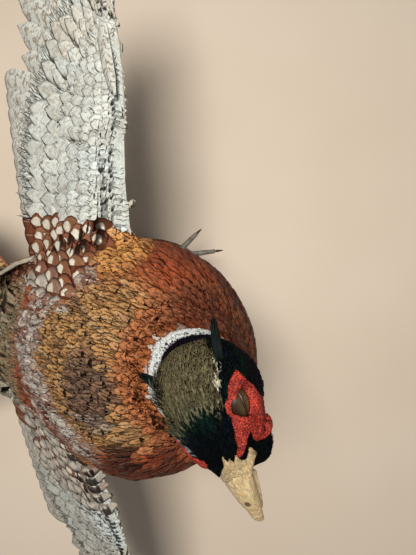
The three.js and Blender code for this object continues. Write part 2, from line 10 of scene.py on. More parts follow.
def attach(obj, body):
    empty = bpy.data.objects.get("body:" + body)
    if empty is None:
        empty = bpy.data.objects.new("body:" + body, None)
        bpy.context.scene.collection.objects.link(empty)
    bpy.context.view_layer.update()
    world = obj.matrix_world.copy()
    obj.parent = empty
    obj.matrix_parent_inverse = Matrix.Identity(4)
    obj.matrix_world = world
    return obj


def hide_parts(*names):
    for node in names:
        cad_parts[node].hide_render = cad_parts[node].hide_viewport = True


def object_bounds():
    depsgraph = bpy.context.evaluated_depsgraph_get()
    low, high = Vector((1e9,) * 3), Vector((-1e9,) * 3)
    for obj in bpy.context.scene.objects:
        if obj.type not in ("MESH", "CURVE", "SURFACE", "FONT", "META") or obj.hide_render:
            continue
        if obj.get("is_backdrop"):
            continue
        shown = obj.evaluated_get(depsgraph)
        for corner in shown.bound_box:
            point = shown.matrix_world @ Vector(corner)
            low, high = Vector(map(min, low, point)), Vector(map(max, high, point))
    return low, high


bl_info = {
    "name": "Pheasant mount",
    "version": (1, 0, 0),
    "blender": (4, 5, 0),
    "location": "View3D > Sidebar > Pheasant",
    "description": "Plumage, bare skin, bill, legs and stand of a mounted pheasant cock",
    "category": "Object",
}

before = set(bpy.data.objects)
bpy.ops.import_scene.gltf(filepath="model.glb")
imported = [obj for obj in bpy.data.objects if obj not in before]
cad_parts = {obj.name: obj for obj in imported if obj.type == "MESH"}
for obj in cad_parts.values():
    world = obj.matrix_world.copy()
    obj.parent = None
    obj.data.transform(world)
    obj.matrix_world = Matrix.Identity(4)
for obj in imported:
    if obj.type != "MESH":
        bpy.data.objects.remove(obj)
CAD_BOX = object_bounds()

MM = 0.001
HEAD_TILT = math.radians(20.5)
# each wing's root and its rise, sweep and pitch in degrees
WINGS = {
    "left": dict(side=1, shoulder=(55, -33, 322), dihedral=11, sweep=0, pitch=37),
    "right": dict(side=-1, shoulder=(-50, 6, 306), dihedral=-13, sweep=13, pitch=40),
}
# each shank's two ends, and how far its foot is turned outwards
LEGS = {
    "left": dict(side=1, ankle=(60, 8, 156), foot=(80, -44, 120), turn=8),
    "right": dict(side=-1, ankle=(-48, 14, 156), foot=(-62, -42, 116), turn=-4),
}
# where the eye lies on the head, how far out its middle is, and its half length, height and depth
EYE_AT = (-5.8, 5.0)
EYE_DEPTH = 10.1
EYE_RADII = (7.6, 4.9, 7.0)
EYE_TURN = math.radians(-14)
BILL_ROLL = -6
SIDES = ("left", "right")


# ------------------------------------------------------------------ axes
def unit(v):
    """A vector, or each row of vectors, at length 1."""
    v = np.asarray(v, float)
    return v / np.maximum(np.linalg.norm(v, axis=-1, keepdims=True), 1e-9)


def turned(v, axis, angle):
    """A vector turned about a unit axis."""
    c, s = math.cos(angle), math.sin(angle)
    return v * c + np.cross(axis, v) * s + axis * np.dot(axis, v) * (1 - c)


class Axes:
    """An origin with forward, left and up axes, in millimetres."""

    def __init__(self, origin, forward, up):
        self.origin = np.array(origin, float)
        self.forward = unit(forward)
        self.left = unit(np.cross(up, self.forward))
        self.up = np.cross(self.forward, self.left)

    def at(self, a, s, h):
        return self.origin + self.forward * a + self.left * s + self.up * h

    def local(self, p):
        q = np.asarray(p, float) - self.origin
        return q @ self.forward, q @ self.left, q @ self.up


def heading(yaw, pitch):
    """A direction from a turn about the upright axis and a rise, in degrees."""
    y, p = math.radians(yaw), math.radians(pitch)
    return np.array([-math.sin(y) * math.cos(p), -math.cos(y) * math.cos(p), math.sin(p)])


TRUNK = Axes((2, -2, 287), heading(7, 35), (0, 0, 1))
HEAD_FORWARD = heading(71.7, 12)
HEAD_RIGHT = unit(np.cross(HEAD_FORWARD, (0, 0, 1)))
HEAD_UP = HEAD_RIGHT * math.sin(HEAD_TILT) + np.array([0, 0, 1]) * math.cos(HEAD_TILT)
HEAD = Axes((-1, -88.3, 459.4), HEAD_FORWARD, HEAD_UP)
BILL = Axes(HEAD.origin, HEAD.forward, turned(HEAD.up, HEAD.forward, -math.radians(BILL_ROLL)))
TAIL = Axes(TRUNK.at(-124, 0, 2), -heading(9, 13), (0, 0, 1))


class WingAxes:
    """A wing's span, chord and upper face."""

    def __init__(self, side, shoulder, dihedral, sweep, pitch):
        d, s, p = math.radians(dihedral), math.radians(sweep), math.radians(pitch)
        self.side = side
        self.origin = np.array(shoulder, float)
        self.out = np.array([side * math.cos(d) * math.cos(s), -math.cos(d) * math.sin(s), math.sin(d)])
        back = np.array([0, math.cos(p), -math.sin(p)])
        self.back = unit(back - self.out * np.dot(back, self.out))
        self.up = side * np.cross(self.out, self.back)

    def at(self, s, c, n):
        return self.origin + self.out * s + self.back * c + self.up * n

    def local(self, p):
        q = np.asarray(p, float) - self.origin
        return q @ self.out, q @ self.back, q @ self.up

    def along(self, angle):
        return self.back * math.cos(math.radians(angle)) + self.out * math.sin(math.radians(angle))


WING = {name: WingAxes(**plan) for name, plan in WINGS.items()}


# ------------------------------------------------------------------ colours and small sums
def rgb(r, g, b):
    """A colour given in display values 0-255, as linear light."""
    v = np.array([r, g, b]) / 255.0
    return np.where(v <= 0.04045, v / 12.92, ((v + 0.055) / 1.055) ** 2.4)


def colour_property(name, description, *display):
    """A colour that the panel shows, given in display values."""
    return bpy.props.FloatVectorProperty(
        name=name, description=description, default=tuple(rgb(*display)), size=3, min=0, max=1, subtype="COLOR"
    )


def number_property(name, description, default, **settings):
    """A number that the panel shows."""
    return bpy.props.FloatProperty(name=name, description=description, default=default, **settings)


class PlumageColours(bpy.types.PropertyGroup):
    mantle: colour_property("Mantle", "Gold of the mantle feathers", 166, 122, 74)
    mantle_pale: colour_property("Mantle, pale", "Paler gold of the mantle feathers", 182, 150, 106)
    breast: colour_property("Breast", "Copper of the breast and flanks", 146, 70, 38)
    shoulder: colour_property("Shoulder", "Orange in front of the wings", 192, 136, 74)
    scapular: colour_property("Scapulars", "Chestnut of the shoulder feathers", 112, 58, 36)
    oval: colour_property("Ovals", "Pale spots on the shoulder feathers", 206, 198, 180)
    wing: colour_property("Wings", "Grey-white of the wing coverts", 202, 206, 198)
    ring: colour_property("Neck ring", "White of the collar", 214, 218, 214)
    crown: colour_property("Crown", "Olive of the crown", 94, 86, 60)
    forehead: colour_property("Forehead", "Black of the forehead and cheeks", 6, 9, 9)
    flecks: colour_property("Brow flecks", "Pale flecks over the eye", 190, 184, 160)


def plumage_colours():
    """The chosen plumage colours, as arrays."""
    chosen = bpy.context.scene.pheasant_plumage
    names = PlumageColours.__annotations__
    return type("Colours", (), {name: np.array(getattr(chosen, name)[:]) for name in names})


def step(low, high, x):
    """0 at low and 1 at high, eased at both ends; low may be the larger."""
    t = np.clip((np.asarray(x, float) - low) / (high - low), 0, 1)
    return t * t * (3 - 2 * t)


def blend(a, b, share):
    """Goes from a to b by a share for each row."""
    share = np.asarray(share)[..., None]
    return a * (1 - share) + b * share


def wave_noise(p, size, seed=0):
    """Smooth pseudo-random values about 0, from a few crossed waves of the given size."""
    rng = np.random.default_rng(seed)
    total = np.zeros(len(p))
    for i in range(7):
        direction = unit(rng.normal(size=3))
        rate = 2 * math.pi / (size * rng.uniform(0.6, 1.6))
        total += np.sin(p @ direction * rate + rng.uniform(0, 6.28))
    return total / 3.2


def segment_distance(a, b, *coords):
    """Distance of local points from the segment between two local points."""
    p = np.stack(coords, -1)
    a, b = np.array(a, float), np.array(b, float)
    t = np.clip(((p - a) @ (b - a)) / np.dot(b - a, b - a), 0, 1)
    return np.linalg.norm(p - (a + t[:, None] * (b - a)), axis=1)


# ------------------------------------------------------------------ mesh help
def clear_selection():
    for o in bpy.context.selected_objects:
        o.select_set(False)


def only(obj):
    """Selects one object and makes it active."""
    clear_selection()
    obj.select_set(True)
    bpy.context.view_layer.objects.active = obj


def new_object(name, mesh):
    obj = bpy.data.objects.new(name, mesh)
    bpy.context.collection.objects.link(obj)
    return obj


def raw_mesh(name, points, corners, starts):
    """A mesh from flat arrays: points in millimetres, face corners and each face's first corner."""
    mesh = bpy.data.meshes.new(name)
    mesh.vertices.add(len(points))
    mesh.vertices.foreach_set("co", (np.asarray(points) * MM).astype(np.float32).ravel())
    mesh.loops.add(len(corners))
    mesh.loops.foreach_set("vertex_index", np.asarray(corners, np.int32))
    mesh.polygons.add(len(starts))
    mesh.polygons.foreach_set("loop_start", np.asarray(starts, np.int32))
    mesh.update(calc_edges=True)
    return mesh


def solid_copy(node, name):
    """A welded copy of a CAD node, as one closed mesh."""
    source = bpy.data.objects[node]
    obj = new_object(name, source.data.copy())
    obj.data.materials.clear()
    bm = bmesh.new()
    bm.from_mesh(obj.data)
    bmesh.ops.remove_doubles(bm, verts=bm.verts, dist=2e-5)
    bmesh.ops.recalc_face_normals(bm, faces=bm.faces)
    bm.to_mesh(obj.data)
    bm.free()
    return obj


def apply_modifier(obj, kind, **settings):
    only(obj)
    modifier = obj.modifiers.new(kind.lower(), kind)
    for key, value in settings.items():
        setattr(modifier, key, value)
    bpy.ops.object.modifier_apply(modifier=modifier.name)


def joined(objects):
    """Joins objects into the first of them."""
    clear_selection()
    for o in objects:
        o.select_set(True)
    bpy.context.view_layer.objects.active = objects[0]
    if len(objects) > 1:
        bpy.ops.object.join()
    return objects[0]


def smooth_faces(obj):
    obj.data.polygons.foreach_set("use_smooth", np.ones(len(obj.data.polygons), bool))


def read(items, field, width=1, kind=np.float32):
    """A value or a vector from each item of a mesh's list."""
    values = np.empty(len(items) * width, kind)
    items.foreach_get(field, values)
    return values.reshape(-1, width) if width > 1 else values


def points_of(mesh):
    return read(mesh.vertices, "co", 3).astype(float) / MM


def set_points(mesh, points):
    mesh.vertices.foreach_set("co", (points * MM).astype(np.float32).ravel())
    mesh.update()


def normals_of(mesh):
    return read(mesh.vertices, "normal", 3).astype(float)


def edges_of(mesh):
    return read(mesh.edges, "vertices", 2, np.int32)


def face_outwards(mesh):
    """Turns the faces of a mesh outwards."""
    bm = bmesh.new()
    bm.from_mesh(mesh)
    bmesh.ops.recalc_face_normals(bm, faces=bm.faces)
    bm.to_mesh(mesh)
    bm.free()


def spread(values, edges, times):
    """Values at vertices evened out along the edges."""
    values = np.array(values, float)
    if values.ndim == 1:
        values = values[:, None]
    count = np.bincount(edges.ravel(), minlength=len(values))[:, None].clip(1)
    for _ in range(times):
        total = np.zeros_like(values)
        np.add.at(total, edges[:, 0], values[edges[:, 1]])
        np.add.at(total, edges[:, 1], values[edges[:, 0]])
        values = 0.4 * values + 0.6 * total / count
    return values


def keep(mesh, name, kind, values):
    """Keeps a value, vector or colour for each point of a mesh."""
    field = {"FLOAT": "value", "FLOAT_VECTOR": "vector", "FLOAT_COLOR": "color"}[kind]
    data = mesh.attributes.new(name, kind, "POINT").data
    data.foreach_set(field, np.asarray(values, np.float32).ravel())


def uv_layer(mesh, name, values):
    """Adds a UV map from a place for each face corner."""
    layer = mesh.uv_layers.new(name=name, do_init=False)
    layer.uv.foreach_set("vector", np.asarray(values, np.float32).ravel())


# ------------------------------------------------------------------ materials
class Nodes:
    """A short way to write a procedural material."""

    def __init__(self, name):
        self.material = bpy.data.materials.new(name)
        self.material.use_nodes = True
        self.tree = self.material.node_tree
        self.shader = self.tree.nodes["Principled BSDF"]

    def put(self, socket, value):
        if isinstance(value, bpy.types.NodeSocket):
            self.tree.links.new(value, socket)
        elif isinstance(value, (int, float)):
            socket.default_value = float(value)
        else:
            value = [float(v) for v in value]
            socket.default_value = value if len(socket.default_value) == len(value) else value + [1.0]

    def add(self, kind, out=0, inputs=None, **settings):
        node = self.tree.nodes.new(kind)
        for key, value in settings.items():
            setattr(node, key, value)
        for key, value in (inputs or {}).items():
            self.put(node.inputs[key], value)
        return node.outputs[out]

    def math(self, operation, a, b=0.0, c=None):
        inputs = {0: a, 1: b}
        if c is not None:
            inputs[2] = c
        return self.add("ShaderNodeMath", inputs=inputs, operation=operation)

    def times(self, a, b):
        return self.math("MULTIPLY", a, b)

    def plus(self, a, b):
        return self.math("ADD", a, b)

    def minus(self, a, b):
        return self.math("SUBTRACT", a, b)

    def attribute(self, name, out="Color"):
        return self.add("ShaderNodeAttribute", out, attribute_name=name)

    def ramp(self, value, low, high, to_low=0.0, to_high=1.0):
        inputs = {"Value": value, "From Min": low, "From Max": high, "To Min": to_low, "To Max": to_high}
        return self.add("ShaderNodeMapRange", inputs=inputs, interpolation_type="SMOOTHSTEP")

    def mix(self, share, a, b, how="MIX"):
        node = self.tree.nodes.new("ShaderNodeMix")
        node.data_type = "RGBA"
        node.blend_type = how
        self.put(node.inputs["Factor"], share)
        self.put(node.inputs["A"], a)
        self.put(node.inputs["B"], b)
        return node.outputs["Result"]

    def mottled(self, noise, a, b):
        return self.mix(self.ramp(noise, 0.35, 0.65), a, b)

    def tinted(self, colour, tint):
        """A colour made lighter or darker by a number."""
        tint = self.add("ShaderNodeCombineColor", inputs={0: tint, 1: tint, 2: tint})
        return self.mix(1.0, colour, tint, "MULTIPLY")

    def vane(self):
        """Places across and along a vane, and the distance from its shaft."""
        across = self.add("ShaderNodeSeparateXYZ", "X", {0: self.add("ShaderNodeUVMap", uv_map="vane")})
        return across, across.node.outputs["Y"], self.math("ABSOLUTE", self.minus(across, 0.5))

    def noise(self, scale, detail=3.0, vector=None, rough=0.55, out="Fac", stretch=None):
        place = vector or self.add("ShaderNodeTexCoord", "Object")
        if stretch:
            place = self.add("ShaderNodeMapping", inputs={"Vector": place, "Scale": stretch})
        inputs = {"Vector": place, "Scale": scale, "Detail": detail, "Roughness": rough}
        return self.add("ShaderNodeTexNoise", out, inputs)

    def cells(self, scale, out="Distance", feature="F1", vector=None):
        place = vector or self.add("ShaderNodeTexCoord", "Object")
        return self.add("ShaderNodeTexVoronoi", out, {"Vector": place, "Scale": scale}, feature=feature)

    def bump(self, height, strength=0.5, distance=0.001, after=None):
        inputs = {"Height": height, "Strength": strength, "Distance": distance}
        if after is not None:
            inputs["Normal"] = after
        return self.add("ShaderNodeBump", inputs=inputs)

    def finish(self, **sockets):
        for key, value in sockets.items():
            self.put(self.shader.inputs[key.replace("_", " ")], value)
        return self.material


def feather_material(
    name,
    barbs=46,
    mottle=0.25,
    speckle=0.0,
    gloss=0.6,
    shine=0.12,
    shaft_show=0.2,
    fleck=(0.05, 0.03, 0.02),
    spot=(0.15, 0.13, 0.7),
    always=0.0,
    streak=0.28,
    fray_out=0.42,
):
    """Vanes whose attributes give the ground, centre and edge colours; the vane map runs across and along.

    spot is the centre mark's half width, half length and place along the vane, and always adds to its size.
    """
    n = Nodes(name)
    across, along, side = n.vane()
    tone = n.attribute("tone")
    heart = n.attribute("heart")
    rim = n.attribute("rim")
    bars = tone.node.outputs["Alpha"]
    wobble = n.noise(300, 2)
    # the centre mark, an uneven oval on the shaft
    wide = n.math("POWER", n.math("DIVIDE", side, spot[0]), 2)
    far = n.math("POWER", n.math("DIVIDE", n.minus(along, spot[2]), spot[1]), 2)
    oval = n.plus(n.plus(wide, far), n.times(n.minus(wobble, 0.5), 1.6))
    oval = n.minus(oval, n.math("MULTIPLY_ADD", heart.node.outputs["Alpha"], 1.4, always))
    in_heart = n.ramp(oval, 0.0, -0.6)
    # uneven cross bars along the vane
    phase = n.plus(n.times(along, bars), n.times(side, 1.6))
    phase = n.plus(phase, n.times(n.noise(150, 3), 3.0))
    stripe = n.math("SINE", n.times(phase, 6.2832))
    in_bar = n.times(n.ramp(stripe, 0.0, 0.7), n.ramp(bars, 0.4, 1.0))
    in_bar = n.times(in_bar, n.ramp(n.noise(210, 2), 0.3, 0.6, 0.25, 1.0))
    # the edge, and the fine barbs that run out and towards the tip
    edge = n.math("MINIMUM", n.minus(0.5, side), n.times(n.minus(1.0, along), 0.8))
    slant = n.minus(along, n.times(side, 0.55))
    steps = {0: n.times(slant, barbs * 0.6), 1: n.times(across, 3.0), 2: n.times(wobble, 3.0)}
    fray = n.noise(1.0, 3, n.add("ShaderNodeCombineXYZ", inputs=steps))
    edge = n.plus(edge, n.times(n.minus(fray, 0.5), fray_out))
    in_rim = n.ramp(n.minus(rim.node.outputs["Alpha"], edge), -0.04, 0.05)
    barb = n.math("SINE", n.times(slant, barbs * 6.28))
    shaft = n.ramp(side, 0.04, 0.012)
    colour = n.mix(in_bar, tone, heart)
    colour = n.mix(n.times(in_heart, n.ramp(bars, 1.0, 0.4)), colour, heart)
    colour = n.mix(in_rim, colour, rim)
    grain = n.ramp(n.noise(900, 3), 0.3, 0.7, 1 - mottle, 1 + mottle)
    streaks = n.ramp(fray, 0.3, 0.7, 1 - streak, 1 + 0.6 * streak)
    streaks = n.times(n.ramp(barb, -1, 1, 0.9, 1.06), streaks)
    if speckle:
        fine = n.ramp(n.noise(420, 4, rough=0.75), 0.5, 0.62)
        colour = n.mix(n.times(fine, speckle), colour, fleck)
    if shaft_show:
        colour = n.mix(n.times(shaft, shaft_show), colour, rgb(196, 180, 150))
    colour = n.tinted(colour, n.times(grain, streaks))
    height = n.plus(n.times(barb, 0.4), n.times(fray, 1.5))
    normal = n.bump(height, 0.4, 0.0002)
    rough = n.ramp(n.noise(300, 2), 0.3, 0.7, gloss - 0.08, gloss + 0.12)
    n.finish(Base_Color=colour, Roughness=rough, Normal=normal)
    return n.finish(Specular_IOR_Level=shine)


def skin_material():
    """The hide below the feathers, in the coat's own markings."""
    n = Nodes("hide under the coat")
    down = n.ramp(n.noise(700, 4, rough=0.7), 0.3, 0.7, 0.55, 0.95)
    n.finish(Base_Color=n.tinted(n.attribute("tone"), down), Roughness=n.ramp(down, 0.5, 1, 0.9, 0.75))
    n.finish(Normal=n.bump(n.noise(900, 3), 0.6, 0.0006))
    return n.finish(Specular_IOR_Level=0.03)


# ------------------------------------------------------------------ plumage: where each marking lies
INK = rgb(30, 22, 19)
UMBER = rgb(92, 70, 60)
MAROON = rgb(84, 34, 24)
COPPER_DARK = rgb(78, 30, 18)
GREY = rgb(156, 150, 138)
GREY_WHITE = rgb(178, 176, 166)
BLUE_WHITE = rgb(206, 216, 214)
BROWN = rgb(112, 92, 72)
SOOT = rgb(34, 27, 24)
GREEN_GREY = rgb(104, 104, 84)
TAN = rgb(150, 124, 92)
GREEN = rgb(9, 40, 30)
BLUE = rgb(12, 18, 32)
PURPLE = rgb(24, 15, 20)
OLIVE_DARK = rgb(58, 56, 38)
ZONES = ("head", "neck", "body", "rump", "thigh", "wing_left", "wing_right")
NECK_MIDDLE = (1, -82)
RING_LEVEL = 397.6


class Markings:
    """Ground, centre and edge colours, mark sizes and feather sizes at points on the hide."""

    def __init__(self, count):
        self.share = np.ones(count)
        self.tone = np.zeros((count, 3))
        self.heart = np.tile(INK, (count, 1))
        self.rim = np.tile(INK, (count, 1))
        self.marks = np.zeros((count, 3))  # bars, centre size, rim width
        self.sizes = np.zeros((count, 4))  # spacing, length, width, lift

    def lay(self, share, ground=None, centre=None, edge=None, size=None, mark=None):
        """Lays what is given over what is there, by a share for each point."""
        for key, value in (("tone", ground), ("heart", centre), ("rim", edge), ("sizes", size), ("marks", mark)):
            if value is not None:
                setattr(self, key, blend(getattr(self, key), np.array(value, float), self.share * share))


def oval_share(a, b, centre, radii, soft=0.16):
    """1 inside an oval and 0 outside it."""
    away = np.hypot((a - centre[0]) / radii[0], (b - centre[1]) / radii[1])
    return step(1 + soft, 1 - soft, away)


def scapular_share(p, up_share, side):
    """Where the pale-spotted shoulder feathers lie beside the mantle."""
    span, chord, rise = WING[side].local(p)
    if side == "left":
        reach = step(-19, -10, span) * step(42, 36, span) * step(3, 10, chord) * step(135, 120, chord)
    else:
        reach = step(-14, -4, span) * step(92, 78, span) * step(4, 12, chord) * step(120, 105, chord)
    return reach * up_share * step(-34, -18, rise)


def body_markings(m, p, n, zone):
    """Copper, gold, grey and chestnut of the breast, mantle, rump and shoulders."""
    c = plumage_colours()
    a, s, h = TRUNK.local(p)
    round_back = np.degrees(np.arctan2(np.abs(s), h))
    x, y, _ = p.T
    top = step(-0.25, 0.2, n[:, 2])
    noise, fine, patchy = wave_noise(p, 40, 1), wave_noise(p, 12, 2), wave_noise(p, 20, 3)
    # copper breast and flanks, darker below, with painted shade making them darker to the front and on the bird's right
    m.lay(1, c.breast, COPPER_DARK, MAROON, (4.4, 16, 7, 0.8), (0, 0.4, 0.03))
    m.lay(step(0.0, 0.9, patchy) * 0.6, COPPER_DARK)
    m.lay(step(60, 112, round_back + 10 * fine) * 0.75, COPPER_DARK)
    # painted shade: darker to the front and on the bird's right side
    m.lay(np.maximum(step(-74, -112, y) * 0.6, step(-42, -72, x) * 0.8), COPPER_DARK)
    flank = step(95, 120, round_back) * step(60, 10, a)
    m.lay(flank, blend(c.shoulder, c.breast, 0.4), INK, SOOT, (6, 24, 13, 2.2), (0, 1.0, 0.1))
    belly = step(135, 160, round_back) * step(80, 30, a)
    m.lay(belly, SOOT, BROWN, SOOT, (6.5, 26, 13, 2.2), (0, 0.3, 0.05))
    # gold mantle with black centres and frayed black tips
    away = np.hypot((x - 2) / 49, (y + 29) / 60) + 0.07 * noise
    mantle = step(1.12, 0.86, away) * top
    m.lay(mantle, c.mantle, INK, INK, (4.6, 19, 5.2, 1.3), (0, 0.55, 0.07))
    m.lay(mantle * step(0.0, 0.9, fine) * 0.7, c.mantle_pale)
    m.lay(mantle * step(0.2, 0.9, patchy) * 0.55, UMBER)
    m.lay(mantle * step(30, 62, x) * 0.5, c.breast)
    worn = oval_share(x, y, (-15, -20), (24, 18), 0.3) * top * 0.85
    m.lay(worn, UMBER, SOOT, UMBER, (4.7, 18, 5.4, 2.2), (0, 0.7, 0.1))
    streak = segment_distance((-33, -34), (-33, -12), x, y)
    m.lay(step(5, 1.5, streak + 2 * fine) * top * 0.7, rgb(150, 138, 124))
    # a grey-white fringe round the mantle's hind border
    fringe = step(0.9, 1.05, away) * step(1.5, 1.2, away) * step(-30, -8, y + 6 * fine) * top
    ground = blend(GREY_WHITE, MAROON, np.clip(0.4 + 0.8 * fine, 0, 1))
    m.lay(fringe * 0.85, ground, c.oval, GREY, (5, 17, 9, 2.0), (0, 0.5, 0.08))
    # lower back and rump
    lower = np.maximum(step(-30, -52, a), zone["rump"]) * step(150, 110, round_back)
    m.lay(lower, TAN, GREEN_GREY, BROWN, (5.4, 28, 9.5, 2.4), (0, 0.8, 0.06))
    m.lay(lower * step(-0.2, 0.8, patchy) * 0.8, GREEN_GREY, TAN)
    m.lay(lower * step(0.1, 0.9, fine) * 0.5, GREY)
    m.lay(zone["rump"] * step(120, 150, round_back), BROWN, SOOT, BROWN, (6, 26, 11, 2.4))
    # shoulders: chestnut with pale spots, greyer on the bird's right, orange in front
    share = oval_share(x, y, (73, -31), (19, 19), 0.25) * top * 0.95
    m.lay(share, c.shoulder, UMBER, c.breast, (4.6, 16, 9, 1.8), (0, 0.5, 0.06))
    share = oval_share(x, y, (-97, -3), (33, 12), 0.25) * 0.9
    m.lay(share, blend(c.shoulder, c.breast, 0.35), UMBER, UMBER, (4.8, 17, 9, 1.8), (0, 0.5, 0.06))
    # painted shade: dark patches on the bird's right chest and on the front of the breast
    share = oval_share(x, y, (-55, -50), (15, 26), 0.35) * step(-1.2, 0.1, patchy) * 0.9
    m.lay(share, rgb(58, 27, 16), INK, SOOT)
    m.lay(oval_share(x, y, (24, -106), (34, 13), 0.5) * 0.6, rgb(58, 26, 18), INK, SOOT)
    share, ground = scapular_share(p, top, "left"), blend(c.scapular, TAN, np.clip(0.5 * fine, 0, 0.4))
    m.lay(share, ground, c.oval, MAROON, (5, 18, 10, 1.6), (0, 0.0, 0.05))
    share = scapular_share(p, top, "right")
    ground = blend(blend(c.scapular, GREY_WHITE, 0.5), GREY_WHITE, np.clip(0.3 + 0.9 * fine, 0, 1))
    m.lay(share, ground, c.oval, MAROON, (5, 18, 10, 1.6), (0, 0.5, 0.08))
    m.lay(zone["thigh"], rgb(96, 74, 54), SOOT, BROWN, (5.2, 19, 10, 2.0), (0, 0.4, 0.06))


def wing_markings(m, p, n, zone):
    """Grey-white coverts, colder in front, greyer on the right wing as painted shade, and the paler underside."""
    c = plumage_colours()
    noise, fine = wave_noise(p, 40, 1), wave_noise(p, 12, 2)
    for side in SIDES:
        span, chord, _ = WING[side].local(p)
        start = 36 if side == "left" else 52
        far = zone["wing_" + side] * step(start - 6, start + 8, span + 5 * noise)
        # painted shade: the right wing's coverts are greyer
        base = blend(c.wing, GREY, np.clip(0.3 * fine + (0.12 if side == "left" else 0.3), 0, 0.8))
        cold = step(-0.5, 0.7, wave_noise(p, 46, 5)) * step(90, 30, chord)
        base = blend(base, BLUE_WHITE, 0.8 * cold)
        deep = np.clip(chord / 95, 0, 1)
        size = np.stack([3.4 + 1.6 * deep, 8.5 + 3 * deep, 5.4 + 1.5 * deep, 0.5 + 0 * deep], -1)
        mark = np.stack([1.2 + 1.6 * deep, 0 * deep, 0.05 + 0 * deep], -1)
        m.lay(far, base, blend(GREY, BROWN, 0.25), c.wing, size, mark)
        under = zone["wing_" + side] * step(0.1, -0.2, n @ WING[side].up)
        m.lay(under, rgb(206, 198, 178), GREY, c.oval)


def collar(p, zone):
    """Places round the neck: distance from its middle, the ring's level, and shares of its foot and of the neck."""
    x, y, z = p.T
    out = np.hypot(x - NECK_MIDDLE[0], y - NECK_MIDDLE[1])
    rise = 14 * step(-86, -106, y) * step(2, 18, x) - 5.0 * step(4, 22, x) * step(-100, -88, y)
    foot = np.maximum(zone["neck"], step(48, 40, out) * step(348, 366, z))
    return out, RING_LEVEL + rise, foot, step(44, 38, out)


def neck_markings(m, p, n, zone):
    """Copper at the foot, and dark purple and blue above the ring."""
    c = plumage_colours()
    _, y, z = p.T
    noise = wave_noise(p, 30, 11)
    _, ring_at, foot, on_neck = collar(p, zone)
    m.lay(foot, blend(c.breast, c.mantle, 0.35), MAROON, COPPER_DARK, (2.8, 11, 6, 1.5), (0, 0.4, 0.06))
    m.lay(foot * step(-50, -80, y) * 0.8, COPPER_DARK)
    above = foot * step(4.9, 5.7, z - ring_at) * on_neck
    m.lay(above, PURPLE, BLUE, BLUE, (1.5, 5.0, 2.4, 0.9), (0, 0.5, 0.08))
    m.lay(above * step(0, 0.8, noise) * 0.8, BLUE)
    m.sizes[:, 1:] *= (1 - 0.4 * above * step(12, 7, z - ring_at))[:, None]
    m.lay(above * step(0.3, 0.9, -noise) * 0.6, GREEN)


# outlines and lines on the head, as places forward and to the left on its own axes
FOREHEAD = [(-3.8, -4), (-3.8, -1.5), (-4.9, 0.3), (-5.3, 3.9), (-5.2, 8.9), (-5.6, 13)]
FOREHEAD += [(30, 20), (30, -20), (6.5, -20), (5.0, -11.3), (1.5, -8.4)]
CROWN_SIDE = [(-34, 6.4), (-25.1, 10.6), (-22.1, 12), (-17.7, 12.3), (-13.2, 11.2), (-8.4, 10.6), (-5.4, 9.4)]
PALE_LINE = [(-17, -17.6), (-8, -17.2), (1.5, -15.6), (7.5, -11.8)]


def ring_markings(m, p, n, zone):
    """The white ring, open at the throat."""
    c = plumage_colours()
    x, y, z = p.T
    out, ring_at, foot, on_neck = collar(p, zone)
    on_neck = on_neck * np.maximum(foot, step(8, 14, x) * step(-88, -94, y))
    wider = 1.4 * step(-92, -104, y)
    gap = step(0.35, 0.6, (NECK_MIDDLE[1] - y) / np.maximum(out, 1)) * step(6, -6, x)
    ring = step(3.4, 2.8, np.abs(z - ring_at - 2.2) - wider) * on_neck * (1 - gap)
    m.lay(ring, c.ring, c.ring, blend(c.ring, GREY, 0.1), (0.95, 3.4, 2.8, 0.4), (0, 0.0, 0.02))


